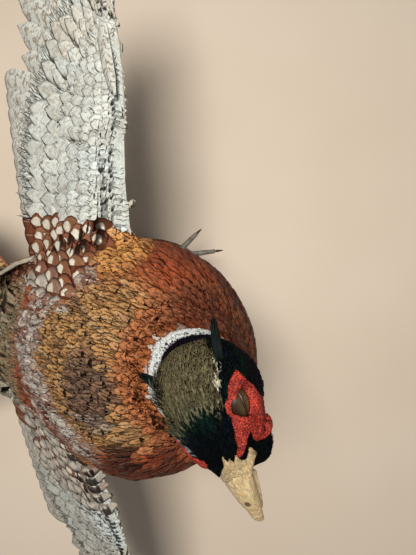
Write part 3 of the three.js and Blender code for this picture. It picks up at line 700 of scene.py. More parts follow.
def head_markings(m, p, n, zone):
    """Black face, glossed green and blue, under an olive crown with pale lines beside it."""
    c = plumage_colours()
    f, l, u = HEAD.local(p)
    on = zone["head"]
    fine, patchy = wave_noise(p, 5, 21), wave_noise(p, 11, 22)
    m.lay(on, c.forehead, BLUE, c.forehead, (1.15, 4.4, 1.3, 0.8), (0, 0.4, 0.05))
    m.lay(on * step(0.3, 1.0, patchy) * step(10, -2, f) * 0.8, BLUE)
    m.lay(on * step(0.2, 1.0, -patchy) * step(6, -4, f) * 0.6, GREEN)
    edge, _ = distance_to(FOREHEAD, f, l)
    front = np.where(in_outline(FOREHEAD, f, l), edge, -edge) + 0.9 * fine
    border = np.interp(f, [q[0] for q in CROWN_SIDE], [q[1] for q in CROWN_SIDE])
    crown = on * step(0.8, -0.8, l - border + 0.5 * fine) * step(0.9, -0.9, front)
    crown = crown * step(2.0, 5.0, u + 0.3 * np.abs(l) * (l < 0))
    m.lay(crown, c.crown, OLIVE_DARK, blend(c.crown, GREY, 0.2), (0.88, 5.4, 0.95, 0.8), (0, 0.5, 0.04))
    m.lay(crown * step(0.0, 1.0, wave_noise(p, 4, 8)) * 0.6, OLIVE_DARK)
    m.lay(crown * step(-6, -26, f) * 0.3, rgb(108, 96, 70))
    m.lay(crown * step(-14, -5, f) * 0.55, OLIVE_DARK)
    gloss = on * step(4.5, 0.5, np.abs(front - 0.5)) * step(7, -2, l)
    m.lay(gloss * 0.35, rgb(18, 40, 32), GREEN)
    flecked = step(0.75, 0.4, np.abs(l - border + 0.1)) * step(-26, -24, f) * step(-7, -8.5, f) * step(4, 7, u)
    flecked = on * flecked * step(-0.3, 0.1, wave_noise(p, 2.4, 9))
    m.lay(flecked, c.flecks, c.flecks, c.flecks, (0.9, 3.4, 0.9, 1.4))
    for start, end in zip(PALE_LINE[:-1], PALE_LINE[1:]):
        line = segment_distance(start, end, f, l)
        share = on * step(3.6, 1.8, line) * step(-2, 1, u) * step(-1.0, -0.3, fine) * 0.95
        m.lay(share, rgb(168, 182, 190), rgb(110, 124, 130), c.flecks)
    m.sizes[:, 1] *= 1 - 0.35 * on * step(8, 14, f)
    m.sizes[:, 1] *= 1 + 0.6 * on * step(-7, -10, l) * step(4, 7, u) * step(-14, -9, f) * step(9, 6, f)
    puffed = on * step(-9, -14, l) * step(-26, -16, f) * step(4, -3, f) * step(0, 6, u)
    m.sizes[:, 3] *= 1 + 3.4 * puffed


def plumage(p, n, zone):
    """The plumage at points on the hide, given their normals and zones."""
    m = Markings(len(p))
    body_markings(m, p, n, zone)
    wing_markings(m, p, n, zone)
    neck_markings(m, p, n, zone)
    head_markings(m, p, n, zone)
    ring_markings(m, p, n, zone)
    return m


# ------------------------------------------------------------------ the hide
ZONE_OF = {"trunk": "body", "rump": "rump", "neck": "neck", "head": "head"}
ZONE_OF |= {"thigh_" + side: "thigh" for side in SIDES}
ZONE_OF |= {"wing_%s_%s" % (side, part): "wing_" + side for side in SIDES for part in ("arm", "hand")}
FLESH = list(ZONE_OF)
SKIN_GROWTH = 0.5


class Hide:
    """The skin as coats see it: nearest point, outward normal, lie of the feathers, zones and unwrap."""

    def __init__(self, obj):
        mesh = obj.data
        self.points = points_of(mesh)
        self.normals = normals_of(mesh)
        count = len(mesh.polygons)
        total = read(mesh.polygons, "loop_total", kind=np.int32)
        assert total.min() == total.max()
        self.faces = read(mesh.loops, "vertex_index", kind=np.int32).reshape(count, -1)
        self.tree = BVHTree.FromPolygons(self.points.tolist(), self.faces.tolist())
        self.lie = read(mesh.attributes["lie"].data, "vector", 3).astype(float)
        self.zones = {name: read(mesh.attributes["zone_" + name].data, "value").astype(float) for name in ZONES}
        self.uv = read(mesh.uv_layers["OFBake"].uv, "vector", 2).reshape(count, -1, 2).mean(axis=1)

    def nearest(self, points):
        """The nearest places on the hide, and their faces."""
        find = self.tree.find_nearest
        found = [find(p) for p in points.tolist()]
        places = np.array([f[0] for f in found])
        faces = np.array([f[2] for f in found])
        return places, faces

    def at_faces(self, values, faces):
        """Means of the corners' values."""
        return values[self.faces[faces]].mean(axis=1)

    def areas(self):
        q = self.points[self.faces]
        return 0.5 * np.linalg.norm(np.cross(q[:, 2] - q[:, 0], q[:, 3] - q[:, 1]), axis=1)


def lie_of(p, n, zone):
    """The way feathers point, before it is laid along the surface."""
    f, l, u = HEAD.local(p)
    droop = -0.012 * np.clip(6 - u, 0, 20) - 2.2 * step(-7, -11, l) * step(18, 10, u) * step(-16, -9, f)
    ways = {
        "head": -HEAD.forward + np.stack([0 * f, 0 * f, droop], -1),
        "neck": np.tile([0.0, 0.3, -1.0], (len(p), 1)),
        "body": np.tile(-TRUNK.forward + np.array([0, 0, -0.35]), (len(p), 1)),
        "rump": np.tile(-TRUNK.forward + np.array([0, 0.3, 0.2]), (len(p), 1)),
        "thigh": np.tile([0.0, 0.1, -1.0], (len(p), 1)),
    }
    for side in SIDES:
        wing = WING[side]
        span = wing.local(p)[0]
        angle = np.radians(np.interp(span, [-20, 60, 120, 188], [2, 10, 20, 58]))[:, None]
        front = np.clip(-(n @ wing.back), 0, 1)[:, None]
        ways["wing_" + side] = wing.back * np.cos(angle) + wing.out * np.sin(angle) + wing.up * front * -0.4
    total = np.zeros_like(p)
    for name in ZONES:
        total += unit(ways[name]) * zone[name][:, None]
    return unit(total)


def in_outline(outline, a, b):
    """Which points lie inside a closed outline."""
    inside = np.zeros(len(a), bool)
    for (a0, b0), (a1, b1) in zip(outline, outline[1:] + outline[:1]):
        crossing = (b0 > b) != (b1 > b)
        at = a0 + (b - b0) * (a1 - a0) / ((b1 - b0) or 1e-9)
        inside ^= crossing & (a < at)
    return inside


# the bare face on each side, as place and level on the head's own axes
FACE = {
    "left": [(-17, 7.6), (-14.6, 10.4), (-12.3, 11.8), (-8, 12.6), (-4.5, 12.5), (0.6, 11.5), (4.9, 10.2)]
    + [(9.7, 7.9), (12.8, 6.6), (13.4, 5.3), (10.5, 5.5), (7.6, 6.0), (5.4, 5.2), (6.4, 3.6), (8.8, 2.2)]
    + [(10.5, -1), (10.9, -4.5), (9.7, -8), (7, -12), (3, -14.5), (-1.5, -13), (-4.5, -9), (-5.6, -4.5)]
    + [(-7.4, -1), (-10.2, 1.4), (-12.4, 4.6), (-14.6, 6.6)],
    "right": [(-16, 4.2), (-12.4, 6.2), (-9, 7.6), (-4.5, 7.9), (0.6, 7.0), (4.9, 5.4), (8.2, 5.6), (9.6, 7.4)]
    + [(11.5, 7.8), (13.4, 6.4), (14.6, 4.4), (14.4, 1.5), (12.5, 1.0), (10.8, 1.2), (10.9, -4.5), (9.7, -8)]
    + [(7, -12), (3, -14.5), (-1.5, -13), (-4.5, -9), (-5.6, -4.5), (-7.4, -2), (-10.2, 0.4), (-12.4, 2.0)],
}


def make_hide(voxel, depth):
    """One closed skin through all the flesh solids, sunk by the depth of the coat."""
    trees = {}
    copies = []
    for node in FLESH:
        copy = solid_copy(node, "hide_" + node)
        mesh = copy.data
        faces = [list(p.vertices) for p in mesh.polygons]
        trees[node] = BVHTree.FromPolygons(points_of(mesh).tolist(), faces)
        # grown a little, so that touching solids run into each other
        set_points(mesh, points_of(mesh) + normals_of(mesh) * SKIN_GROWTH)
        copies.append(copy)
    skin = joined(copies)
    skin.name = skin.data.name = "hide"
    apply_modifier(skin, "REMESH", mode="VOXEL", voxel_size=voxel, use_smooth_shade=True)
    mesh = skin.data
    edges = edges_of(mesh)
    points = points_of(mesh)
    before = points.copy()
    points = spread(points, edges, 3)
    keep_head = step(30, 24, np.linalg.norm(points - HEAD.at(-2, 0, -2), axis=1))
    points = blend(spread(points, edges, 6), before * 0.5 + points * 0.5, keep_head)
    set_points(mesh, points)
    distance = np.array([[trees[node].find_nearest(p)[3] for node in FLESH] for p in points.tolist()])
    first = distance.argmin(axis=1)
    weights = np.zeros((len(points), len(ZONES)))
    weights[np.arange(len(points)), [ZONES.index(ZONE_OF[FLESH[i]]) for i in first]] = 1
    weights = spread(weights, edges, 5)
    zone = {name: weights[:, i] for i, name in enumerate(ZONES)}
    lie = spread(lie_of(points, normals_of(mesh), zone), edges, 12)
    sink = depth * (1 - 0.6 * zone["head"] - 0.25 * zone["neck"])
    set_points(mesh, points - normals_of(mesh) * (SKIN_GROWTH + sink)[:, None])
    for name in ZONES:
        keep(mesh, "zone_" + name, "FLOAT", zone[name])
    keep(mesh, "lie", "FLOAT_VECTOR", lie)
    points = points_of(mesh)
    m = plumage(points, normals_of(mesh), zone)
    keep(mesh, "tone", "FLOAT_COLOR", np.column_stack([blend(m.tone, m.rim, 0.35), m.marks[:, 0]]))
    only(skin)
    bpy.ops.object.mode_set(mode="EDIT")
    bpy.ops.mesh.select_all(action="SELECT")
    bpy.ops.uv.smart_project(angle_limit=1.15, island_margin=0.002)
    bpy.ops.object.mode_set(mode="OBJECT")
    mesh.uv_layers[0].name = "OFBake"
    mesh.materials.append(skin_material())
    smooth_faces(skin)
    return skin


# ------------------------------------------------------------------ coats
VANE_SHAPES = {
    # rows along the vane as (place, width share), columns across, and how far the edges are drawn back
    "round": ([(0, 0.22), (0.3, 0.78), (0.58, 1.0), (0.8, 0.93), (0.94, 0.6), (1.0, 0.18)], (-1, -0.5, 0, 0.5, 1), 0.1),
    "soft": ([(0, 0.3), (0.35, 0.9), (0.7, 1.0), (0.92, 0.62), (1.0, 0.2)], (-1, 0, 1), 0.12),
    "hair": ([(0, 0.5), (0.4, 1.0), (0.78, 0.72), (1.0, 0.12)], (-1, 0, 1), 0.05),
    "wisp": ([(0, 0.6), (0.5, 1.0), (1.0, 0.12)], (-1, 0, 1), 0.05),
    "plume": (
        [(0, 0.25), (0.15, 0.7), (0.35, 1.0), (0.55, 1.0), (0.75, 0.85), (0.9, 0.55), (1.0, 0.15)],
        (-1, -0.5, 0, 0.5, 1),
        0.08,
    ),
}
CAMBER = 0.035  # a contour feather's arch, as a share of its width
TILE_CAMBER = 0.018
TRIES = 7.0  # roots tried for each one that fits


def vane_shape(name):
    """A vane's rows, columns and drawn-back edges."""
    rows, columns, swept = VANE_SHAPES[name]
    return rows, np.array(columns, float), swept


def ragged(column, place, wide, width, length, swept, notch):
    """How far out and how far forward a point of a vane lies, with an uneven edge and a rounded tip."""
    out = column * width / 2 * wide * (1 + notch * (abs(column) > 0.7))
    back = -abs(column) ** 2 * swept * length * (place > 0.5) + notch * 0.3 * width * (place > 0.5)
    return out, back


def scattered(hide, spacing, seed, chosen):
    """Roots on the chosen faces, evenly scattered at the spacing given at each vertex."""
    rng = np.random.default_rng(seed)
    areas = hide.areas()
    face_spacing = spacing[hide.faces].mean(axis=1)
    counts = rng.poisson(areas * chosen / face_spacing**2 * TRIES)
    faces = np.repeat(np.arange(len(areas)), counts)
    share = rng.random((len(faces), 2))
    q = hide.points[hide.faces[faces]]
    low = q[:, 0] + (q[:, 1] - q[:, 0]) * share[:, :1]
    high = q[:, 3] + (q[:, 2] - q[:, 3]) * share[:, :1]
    points = low + (high - low) * share[:, 1:]
    radius = face_spacing[faces]
    order = rng.permutation(len(points))
    tree = kdtree.KDTree(len(points))
    for i, p in enumerate(points.tolist()):
        tree.insert(p, i)
    tree.balance()
    alive = np.ones(len(points), bool)
    kept = []
    listed = points.tolist()
    for i in order.tolist():
        if not alive[i]:
            continue
        kept.append(i)
        for _, j, _ in tree.find_range(listed[i], float(radius[i])):
            alive[j] = False
    kept = np.array(kept)
    return points[kept], faces[kept]


def grow_coat(name, hide, roots, faces, shape, material, seed, scale, ruffle, mingle, free):
    """Vanes laid from their roots along the skin, as one mesh with the vane map and the bake map.

    scale multiplies length, width and lift, mingle is the share of vanes in the edge colour, and free
    is how far past the root a vane leaves the skin and hangs by itself.
    """
    rng = np.random.default_rng(seed)
    rows, columns, swept = vane_shape(shape)
    count, width_count = len(roots), len(columns)
    zone = {key: hide.at_faces(value, faces) for key, value in hide.zones.items()}
    normal = unit(hide.at_faces(hide.normals, faces))
    m = plumage(roots, normal, zone)
    if mingle:
        pick = rng.random(count)
        m.tone = blend(m.tone, m.rim, (pick < mingle) * rng.uniform(0.4, 0.95, count))
        m.tone = m.tone * (1 + 0.35 * (pick > 1 - mingle * 0.6))[:, None]
    length = m.sizes[:, 1] * rng.uniform(0.82, 1.16, count) * scale[0]
    width = m.sizes[:, 2] * rng.uniform(0.84, 1.14, count) * scale[1]
    lift = m.sizes[:, 3] * rng.uniform(0.7, 1.35, count) * ruffle * scale[2]
    sway = rng.normal(0, 0.11 * ruffle, count)
    tilt = rng.normal(0, 0.07 * ruffle, count)
    notch = rng.uniform(-0.14, 0.14, (count, len(rows), width_count))
    here = roots.copy()
    uv_root = hide.uv[faces]
    spine, normals, ways = [], [], []
    direction = None
    for k, (place, _) in enumerate(rows):
        stride = length * (place - rows[k - 1][0]) if k else 0 * length
        loose = free and k > 1
        if k:
            here = here + direction * stride[:, None]
            if not loose:
                near, near_faces = hide.nearest(here)
                near_normal = unit(hide.at_faces(hide.normals, near_faces))
                # a vane runs on straight past a thin edge instead of folding round it
                clings = np.sum(near_normal * normal, axis=1) > 0.55
                here = np.where(clings[:, None], near, here)
                faces = np.where(clings, near_faces, faces)
                normal = np.where(clings[:, None], near_normal, normal)
        if loose:
            direction = unit(direction + np.array([0, 0, -0.16 * free]) + across * (0.5 * sway)[:, None])
        else:
            way = hide.at_faces(hide.lie, faces)
            way = unit(way - normal * np.sum(way * normal, axis=1)[:, None])
            across = np.cross(way, normal)
            direction = unit(way + across * sway[:, None])
            if k:
                direction = np.where(clings[:, None], direction, ways[-1])
            if k > 1:
                direction = unit(0.5 * direction + 0.5 * ways[-1])
        spine.append(here.copy())
        normals.append(normal)
        ways.append(direction)
    points = np.zeros((count, len(rows), width_count, 3))
    for k, (place, wide) in enumerate(rows):
        across = unit(np.cross(ways[k], normals[k]))
        rise = -0.5 + lift * math.sin(min(1.0, place * 1.05) * math.pi / 2)
        for c, column in enumerate(columns):
            out, back = ragged(column, place, wide, width, length, swept, notch[:, k, c])
            height = rise + (1 - column**2) * width * CAMBER * (0.4 + 0.6 * wide) + tilt * out
            sideways = spine[k] + across * out[:, None]
            points[:, k, c] = sideways + normals[k] * height[:, None] + ways[k] * back[:, None]
    return vane_mesh(name, points, rows, columns, uv_root, m, material, rng)


class WingSurface:
    """Heights of a wing's upper face over its span and chord, carried on over the flight feathers."""

    STEP = 3.0

    def __init__(self, side, hide):
        self.side, self.wing, self.hide = side, WING[side], hide
        self.spans = np.arange(-30, 201, self.STEP)
        self.chords = np.arange(-30, 151, self.STEP)
        self.lead, self.trail = [], []
        heights = np.full((len(self.spans), len(self.chords)), np.nan)
        for i, s in enumerate(self.spans):
            for j, c in enumerate(self.chords):
                above = 110 if s < 33 else 45
                hit = hide.tree.ray_cast(Vector(self.wing.at(s, c, above)), Vector(-self.wing.up))
                if hit[0] is not None:
                    rise = self.wing.local(np.array(hit[0]))[2]
                    if rise > -14:
                        heights[i, j] = rise
            on = np.flatnonzero(~np.isnan(heights[i]))
            if len(on) == 0:
                heights[i] = heights[i - 1]
                self.lead.append(self.lead[-1])
                self.trail.append(self.trail[-1])
                continue
            gaps = np.flatnonzero(np.diff(on) > 1)
            last = on[gaps[0]] if len(gaps) else on[-1]
            past = self.chords - self.chords[last]
            held = np.exp(-np.clip(past, 0, None) / 9)
            flat = heights[i, last] * held + (0.5 - 0.02 * past) * (1 - held)
            heights[i] = np.where(np.isnan(heights[i]) | (past > 0) & (heights[i] < flat), flat, heights[i])
            heights[i, : on[0]] = heights[i, on[0]] - 0.5 * (self.chords[on[0]] - self.chords[: on[0]])
            self.lead.append(self.chords[on[0]])
            self.trail.append(self.chords[last])
        heights = self.eased(heights, 2)
        # the shoulder feathers bridge the crease between wing and back
        bridge = self.eased(np.maximum(heights, self.eased(heights, 40)), 6)
        inner = step(46, 34, self.spans)[:, None]
        self.heights = heights * (1 - inner) + bridge * inner

    def eased(self, heights, times):
        """Heights evened out over their neighbours."""
        for _ in range(times):
            padded = np.pad(heights, 1, mode="edge")
            around = padded[:-2, 1:-1] + padded[2:, 1:-1] + padded[1:-1, :-2] + padded[1:-1, 2:]
            heights = 0.5 * heights + 0.125 * around
        return heights

    def roots(self, places):
        """Where the given spans and chords lie on the upper face."""
        return np.array([self.wing.at(s, c, self.height(np.array(s), np.array(c))) for s, c in places[:, :2]])

    def edges(self, span):
        """Chords of the leading and the trailing edge."""
        return np.interp(span, self.spans, self.lead), np.interp(span, self.spans, self.trail)

    def height(self, span, chord):
        """The upper face's height, between the points of its grid."""
        a = np.clip((span - self.spans[0]) / self.STEP, 0, len(self.spans) - 1.001)
        b = np.clip((chord - self.chords[0]) / self.STEP, 0, len(self.chords) - 1.001)
        i, j = a.astype(int), b.astype(int)
        a, b = a - i, b - j
        g = self.heights
        near = g[i, j] * (1 - b) + g[i, j + 1] * b
        far = g[i + 1, j] * (1 - b) + g[i + 1, j + 1] * b
        return near * (1 - a) + far * a


def lie_angle(span):
    """How far outwards the feathers of a wing's upper face turn, in degrees."""
    return np.interp(span, [-20, 60, 120, 150, 188], [0, 8, 20, 34, 58])


COVERT_ROWS = [
    # root as a share of the way from the leading to the trailing edge, length, width, gap and lift
    (-0.02, 12, 6.5, 3.6, 0.4),
    (0.06, 15, 8, 4.4, 0.5),
    (0.15, 18, 9.5, 5.2, 0.6),
    (0.27, 22, 11, 6.0, 0.6),
    (0.40, 27, 13, 7.0, 0.7),
    (0.55, 33, 15, 8.0, 0.8),
    (0.71, 42, 17, 8.8, 0.8),
    (0.89, 52, 19, 9.2, 0.8),
]
SCAPULAR_ROWS = {
    # chord of the roots, length, width, gap and lift; and the span that they cover
    "left": (
        [(9, 25, 15, 11, 1.3), (20, 27, 16, 11.5, 1.3), (31, 29, 17, 12, 1.4), (43, 31, 18, 12, 1.4)]
        + [(55, 32, 18, 12.5, 1.3), (67, 33, 18, 12.5, 1.3), (80, 34, 18, 12.5, 1.2), (94, 35, 18, 12.5, 1.1)],
        (-21, 38),
    ),
    "right": (
        [(3, 20, 13, 9.5, 1.2), (13, 22, 14, 10, 1.2), (24, 24, 15, 10.5, 1.2), (35, 26, 16, 11, 1.2)]
        + [(47, 28, 16.5, 11, 1.2), (59, 30, 17, 11.5, 1.1), (71, 32, 17, 11.5, 1.1), (84, 34, 17, 11.5, 1.0)],
        (-12, 86),
    ),
}


def covert_plan(side, surface):
    """Roots, sizes and colours of the rows of wing coverts."""
    rng = np.random.default_rng(7)
    start = 34 if side == "left" else 80
    places = []
    for share, length, width, gap, lift in COVERT_ROWS:
        spans = np.arange(start, 186, gap)
        spans = spans + rng.uniform(-0.18, 0.18, len(spans)) * gap
        lead, trail = surface.edges(spans)
        chords = lead + (trail - lead) * share + rng.uniform(-0.8, 0.8, len(spans))
        shrink = np.interp(spans, [start, 150, 186], [1.0, 0.92, 0.6])
        places.append(np.stack([spans, chords, length * shrink, width * shrink, lift + 0 * spans], -1))
    places = np.concatenate(places)
    roots = surface.roots(places)
    c = plumage_colours()
    m = Markings(len(roots))
    fine, broad = wave_noise(roots, 26, 31), wave_noise(roots, 60, 32)
    deep = np.clip(places[:, 1] / 90, 0, 1)
    # painted shade: the right wing's coverts are greyer
    right_wing_painted_shade = 0.0 if side == "left" else 0.22
    m.tone = blend(c.wing, GREY, np.clip(0.12 + 0.14 * fine + right_wing_painted_shade, 0, 0.8))
    m.tone = blend(m.tone, BLUE_WHITE, 0.85 * step(-0.5, 0.6, broad) * step(90, 20, places[:, 1]))
    m.tone = blend(m.tone, c.oval, 0.5 * step(110, 160, places[:, 0]) * step(-0.4, 0.6, fine))
    m.heart = blend(m.tone, blend(GREY, BROWN, 0.4), 0.55)
    m.rim = blend(m.tone, blend(c.wing, GREY, 0.5), 0.6)
    m.marks = np.stack([1.2 + 1.8 * deep, 0 * deep, 0.05 + 0 * deep], -1)
    return places, m


def barb_plan(side, surface, count):
    """Loose barbs strewn over the coverts, which break up the rows."""
    rng = np.random.default_rng(17)
    spans = rng.uniform(36 if side == "left" else 84, 186, count)
    lead, trail = surface.edges(spans)
    chords = lead + (trail + 34 - lead) * rng.uniform(0.05, 1.0, count)
    length, width = rng.uniform(15, 27, count), rng.uniform(2.0, 3.6, count)
    places = np.stack([spans, chords, length, width, rng.uniform(0.3, 0.7, count)], -1)
    c = plumage_colours()
    m = Markings(count)
    shade = rng.random(count)
    m.tone = blend(c.wing, BLUE_WHITE, step(0.2, 0.9, wave_noise(surface.roots(places), 40, 33)))
    # painted shade: the grey barbs are greyer on the right wing
    m.tone = blend(m.tone, GREY, step(0.6, 0.95, shade) * (0.5 if side == "left" else 0.9))
    m.tone = blend(m.tone, c.oval, step(0.3, 0.05, shade) * 0.8)
    m.heart, m.rim = m.tone * 0.9, m.tone
    return places, m


def scapular_plan(side):
    """Roots, sizes and colours of the pale-spotted feathers between mantle and wing."""
    rng = np.random.default_rng(8)
    rows, (low, high) = SCAPULAR_ROWS[side]
    places = []
    for index, (chord, length, width, gap, lift) in enumerate(rows):
        spans = np.arange(low + (index % 2) * gap / 2, high, gap)
        spans = spans + rng.uniform(-0.15, 0.15, len(spans)) * gap
        chords = chord + rng.uniform(-1.5, 1.5, len(spans))
        places.append(np.stack([spans, chords, length + 0 * spans, width + 0 * spans, lift + 0 * spans], -1))
    places = np.concatenate(places)
    c = plumage_colours()
    m = Markings(len(places))
    fine = rng.random(len(places))
    m.tone = blend(c.scapular, TAN, 0.35 * fine)
    if side == "left":
        fringe = step(-6, -15, places[:, 0] - 0.06 * places[:, 1] + 6 * (fine - 0.5))
    else:
        fringe = np.clip(step(0.15, 0.5, fine) + step(40, 80, places[:, 0]), 0, 1)
    m.tone = blend(m.tone, blend(GREY, GREY_WHITE, 0.5), 0.8 * fringe)
    m.heart = blend(c.oval, m.tone, 0.55 * fringe)
    m.rim = blend(MAROON, blend(GREY, c.scapular, 0.35), fringe)
    m.marks[:, 2] = 0.06
    return places, m


def tiled_rows(name, surface, plan, material, seed, shape, sway):
    """Feathers laid in rows like roof tiles along a wing's upper face."""
    places, m = plan
    rng = np.random.default_rng(seed)
    wing = surface.wing
    rows, columns, swept = vane_shape(shape)
    count = len(places)
    span, chord, length, width, lift = (places[:, i] for i in range(5))
    length = length * rng.uniform(0.9, 1.1, count)
    angle = np.radians(lie_angle(span) + rng.normal(0, sway, count))
    tilt = rng.normal(0, 0.012, count)
    notch = rng.uniform(-0.08, 0.08, (count, len(rows), len(columns)))
    points = np.zeros((count, len(rows), len(columns), 3))
    for k, (place, wide) in enumerate(rows):
        s, c = span + np.sin(angle) * length * place, chord + np.cos(angle) * length * place
        middle = surface.height(s, c)
        for j, column in enumerate(columns):
            out, back = ragged(column, place, wide, width, length, swept, notch[:, k, j])
            sj = s + np.cos(angle) * out + np.sin(angle) * back
            cj = c - np.sin(angle) * out + np.cos(angle) * back
            rise = 0.5 * middle + 0.5 * surface.height(sj, cj)
            rise = rise - 0.2 + lift * place + (1 - column**2) * width * TILE_CAMBER * (0.4 + 0.6 * wide) + tilt * out
            points[:, k, j] = wing.origin + np.outer(sj, wing.out) + np.outer(cj, wing.back) + np.outer(rise, wing.up)
    if wing.side < 0:
        points = points[:, :, ::-1]
    _, faces = surface.hide.nearest(points[:, 0, len(columns) // 2])
    return vane_mesh(name, points, rows, columns, surface.hide.uv[faces], m, material, rng)


def vane_faces(row_count, column_count):
    """Corners of one closed vane: its upper face, its under face between the edges, and both ends."""
    faces = []
    at = lambda k, c: k * column_count + c
    last = column_count - 1
    for k in range(row_count - 1):
        for c in range(last):
            faces.append([at(k, c), at(k, c + 1), at(k + 1, c + 1), at(k + 1, c)])
        faces.append([at(k, last), at(k, 0), at(k + 1, 0), at(k + 1, last)])
    faces.append([at(0, c) for c in reversed(range(column_count))])
    faces.append([at(row_count - 1, c) for c in range(column_count)])
    return faces


def vane_mesh(name, points, rows, columns, uv_root, m, material, rng):
    """One mesh of closed vanes from their points, with the vane map, the bake map and the colours."""
    count, row_count, column_count, _ = points.shape
    faces = vane_faces(row_count, column_count)
    corners = np.concatenate([np.array(f) for f in faces])
    totals = np.array([len(f) for f in faces])
    each = row_count * column_count
    all_corners = (corners[None, :] + (np.arange(count) * each)[:, None]).ravel()
    starts = np.concatenate([[0], np.cumsum(np.tile(totals, count))[:-1]])
    mesh = raw_mesh(name, points.reshape(-1, 3), all_corners, starts)
    vane = np.array([[(c + 1) / 2, place] for place, _ in rows for c in columns])
    uv_layer(mesh, "vane", np.tile(vane[corners], (count, 1)))
    patch = (vane[corners] - 0.5) * 0.003
    bake = np.clip(uv_root[:, None, :] + patch[None, :, :], 0.0005, 0.9995)
    uv_layer(mesh, "OFBake", bake)
    shade = rng.uniform(0.86, 1.12, count)[:, None]
    for i, key in enumerate(("tone", "heart", "rim")):
        colour, extra = getattr(m, key), m.marks[:, i]
        values = np.column_stack([np.clip(colour * shade, 0, 1), extra])
        keep(mesh, key, "FLOAT_COLOR", np.repeat(values, each, axis=0))
    mesh.materials.append(material)
    obj = new_object(name, mesh)
    smooth_faces(obj)
    return obj


# ------------------------------------------------------------------ long feathers
LONG_COLUMNS = 9
LONG_THICKNESS = 0.9
LEADING_VANE = 0.72  # width of the narrow vane, as a share of the broad one
WING_ROWS, TAIL_ROWS = 26, 40


def long_feather(root, along, up, length, width, droop, roll, lead, tip, rows, seed):
    """Upper and lower points of one flight or tail feather.

    lead is the side (-1 or 1) of its narrow leading vane, and a larger tip is blunter.
    """
    rng = np.random.default_rng(seed)
    upright = turned(up, along, roll)
    across = unit(np.cross(along, upright))
    places = np.linspace(0, 1, rows)
    columns = LONG_COLUMNS
    cols = np.linspace(-1, 1, columns)
    widths = [0.14, 0.34, 0.8, 1, 0.9 + 0.08 * tip, 0.62 + 0.26 * tip, 0.16 + 0.34 * tip]
    wide = np.interp(places, [0, 0.06, 0.2, 0.5, 0.82, 0.93, 1], widths)
    top = np.zeros((rows, columns, 3))
    low = np.zeros((rows, columns, 3))
    uneven = np.interp(places, np.linspace(0, 1, 9), rng.uniform(-0.035, 0.035, 9))
    for k, place in enumerate(places):
        middle = root + along * (length * place) - up * (droop * place**2)
        for c, column in enumerate(cols):
            share = LEADING_VANE if column * lead > 0 else 1.0
            out = column * width / 2 * wide[k] * share * (1 + (uneven[k] if column * lead < 0 else 0))
            back = -abs(column) ** 2 * length * 0.035 * (1 - 0.5 * tip) * (place > 0.3) * place
            arch = (1 - column**2) * width * 0.05 * wide[k]
            shaft = 0.55 * math.exp(-((column / 0.07) ** 2)) * (1 - 0.8 * place)
            point = middle + across * out + along * back
            half = 0.5 * LONG_THICKNESS * (1 - 0.75 * abs(column)) * (1 - 0.4 * place)
            top[k, c] = point + upright * (arch + half + shaft)
            low[k, c] = point + upright * (arch - half - shaft * 0.7)
    return top, low


def long_feathers(name, blades, material, tones):
    """Joins long feathers into one mesh. tones gives each its ground, centre, edge and marks."""
    points, corners, starts, vane, bake = [], [], [], [], []
    colours = {"tone": [], "heart": [], "rim": []}
    base, count = 0, len(blades)
    for i, (top, low) in enumerate(blades):
        rows, columns, _ = top.shape
        points += [top.reshape(-1, 3), low.reshape(-1, 3)]
        at = lambda k, c, side: base + side * rows * columns + k * columns + c
        faces = []
        for k in range(rows - 1):
            for c in range(columns - 1):
                faces.append([(k, c, 0), (k, c + 1, 0), (k + 1, c + 1, 0), (k + 1, c, 0)])
                faces.append([(k, c, 1), (k + 1, c, 1), (k + 1, c + 1, 1), (k, c + 1, 1)])
            faces.append([(k, 0, 0), (k + 1, 0, 0), (k + 1, 0, 1), (k, 0, 1)])
            last = columns - 1
            faces.append([(k, last, 0), (k, last, 1), (k + 1, last, 1), (k + 1, last, 0)])
        for c in range(columns - 1):
            faces.append([(0, c, 0), (0, c, 1), (0, c + 1, 1), (0, c + 1, 0)])
            last = rows - 1
            faces.append([(last, c, 0), (last, c + 1, 0), (last, c + 1, 1), (last, c, 1)])
        for face in faces:
            starts.append(len(corners))
            for k, c, side in face:
                corners.append(at(k, c, side))
                u, v = c / (columns - 1), k / (rows - 1)
                vane.append((u, v))
                half = 0.46 / count
                bake.append(((i + 0.25 + 0.5 * side) / count + (u - 0.5) * half * 0.9, 0.01 + 0.98 * v))
        each = 2 * rows * columns
        *tints, marks = tones(i)
        for key, tint, mark in zip(colours, tints, marks):
            colours[key].append(np.tile([*tint, mark], (each, 1)))
        base += each
    mesh = raw_mesh(name, np.concatenate(points), corners, starts)
    uv_layer(mesh, "vane", vane)
    uv_layer(mesh, "OFBake", bake)
    for key, values in colours.items():
        keep(mesh, key, "FLOAT_COLOR", np.concatenate(values))
    mesh.materials.append(material)
    obj = new_object(name, mesh)
    smooth_faces(obj)
    return obj


# each flight feather's place along the wing, chord, level, turn outwards, length, width and droop
def primary(i):
    length = 130 + 40 * math.sin(math.pi * (i + 0.5) / 11.5)
    return 124 + 6.4 * i, 16 + 0.2 * i, -4.1 + 0.1 * i, 22 + 6.3 * i, length, 30 - 0.9 * i, 7 + 0.5 * i


def secondary(i):
    return 116 - 9 * i, 22 + 2 * i, -2.3, 17 - 1.9 * i, 150 - 3.8 * i, 30, 6


def tertial(i):
    return 16 - 9 * i, 52, -2.1 + 0.2 * i, -6 - 3 * i, 96 - 8 * i, 31, 5


ALULA = (122, 5, 7.4, 72, 54, 15, 5)


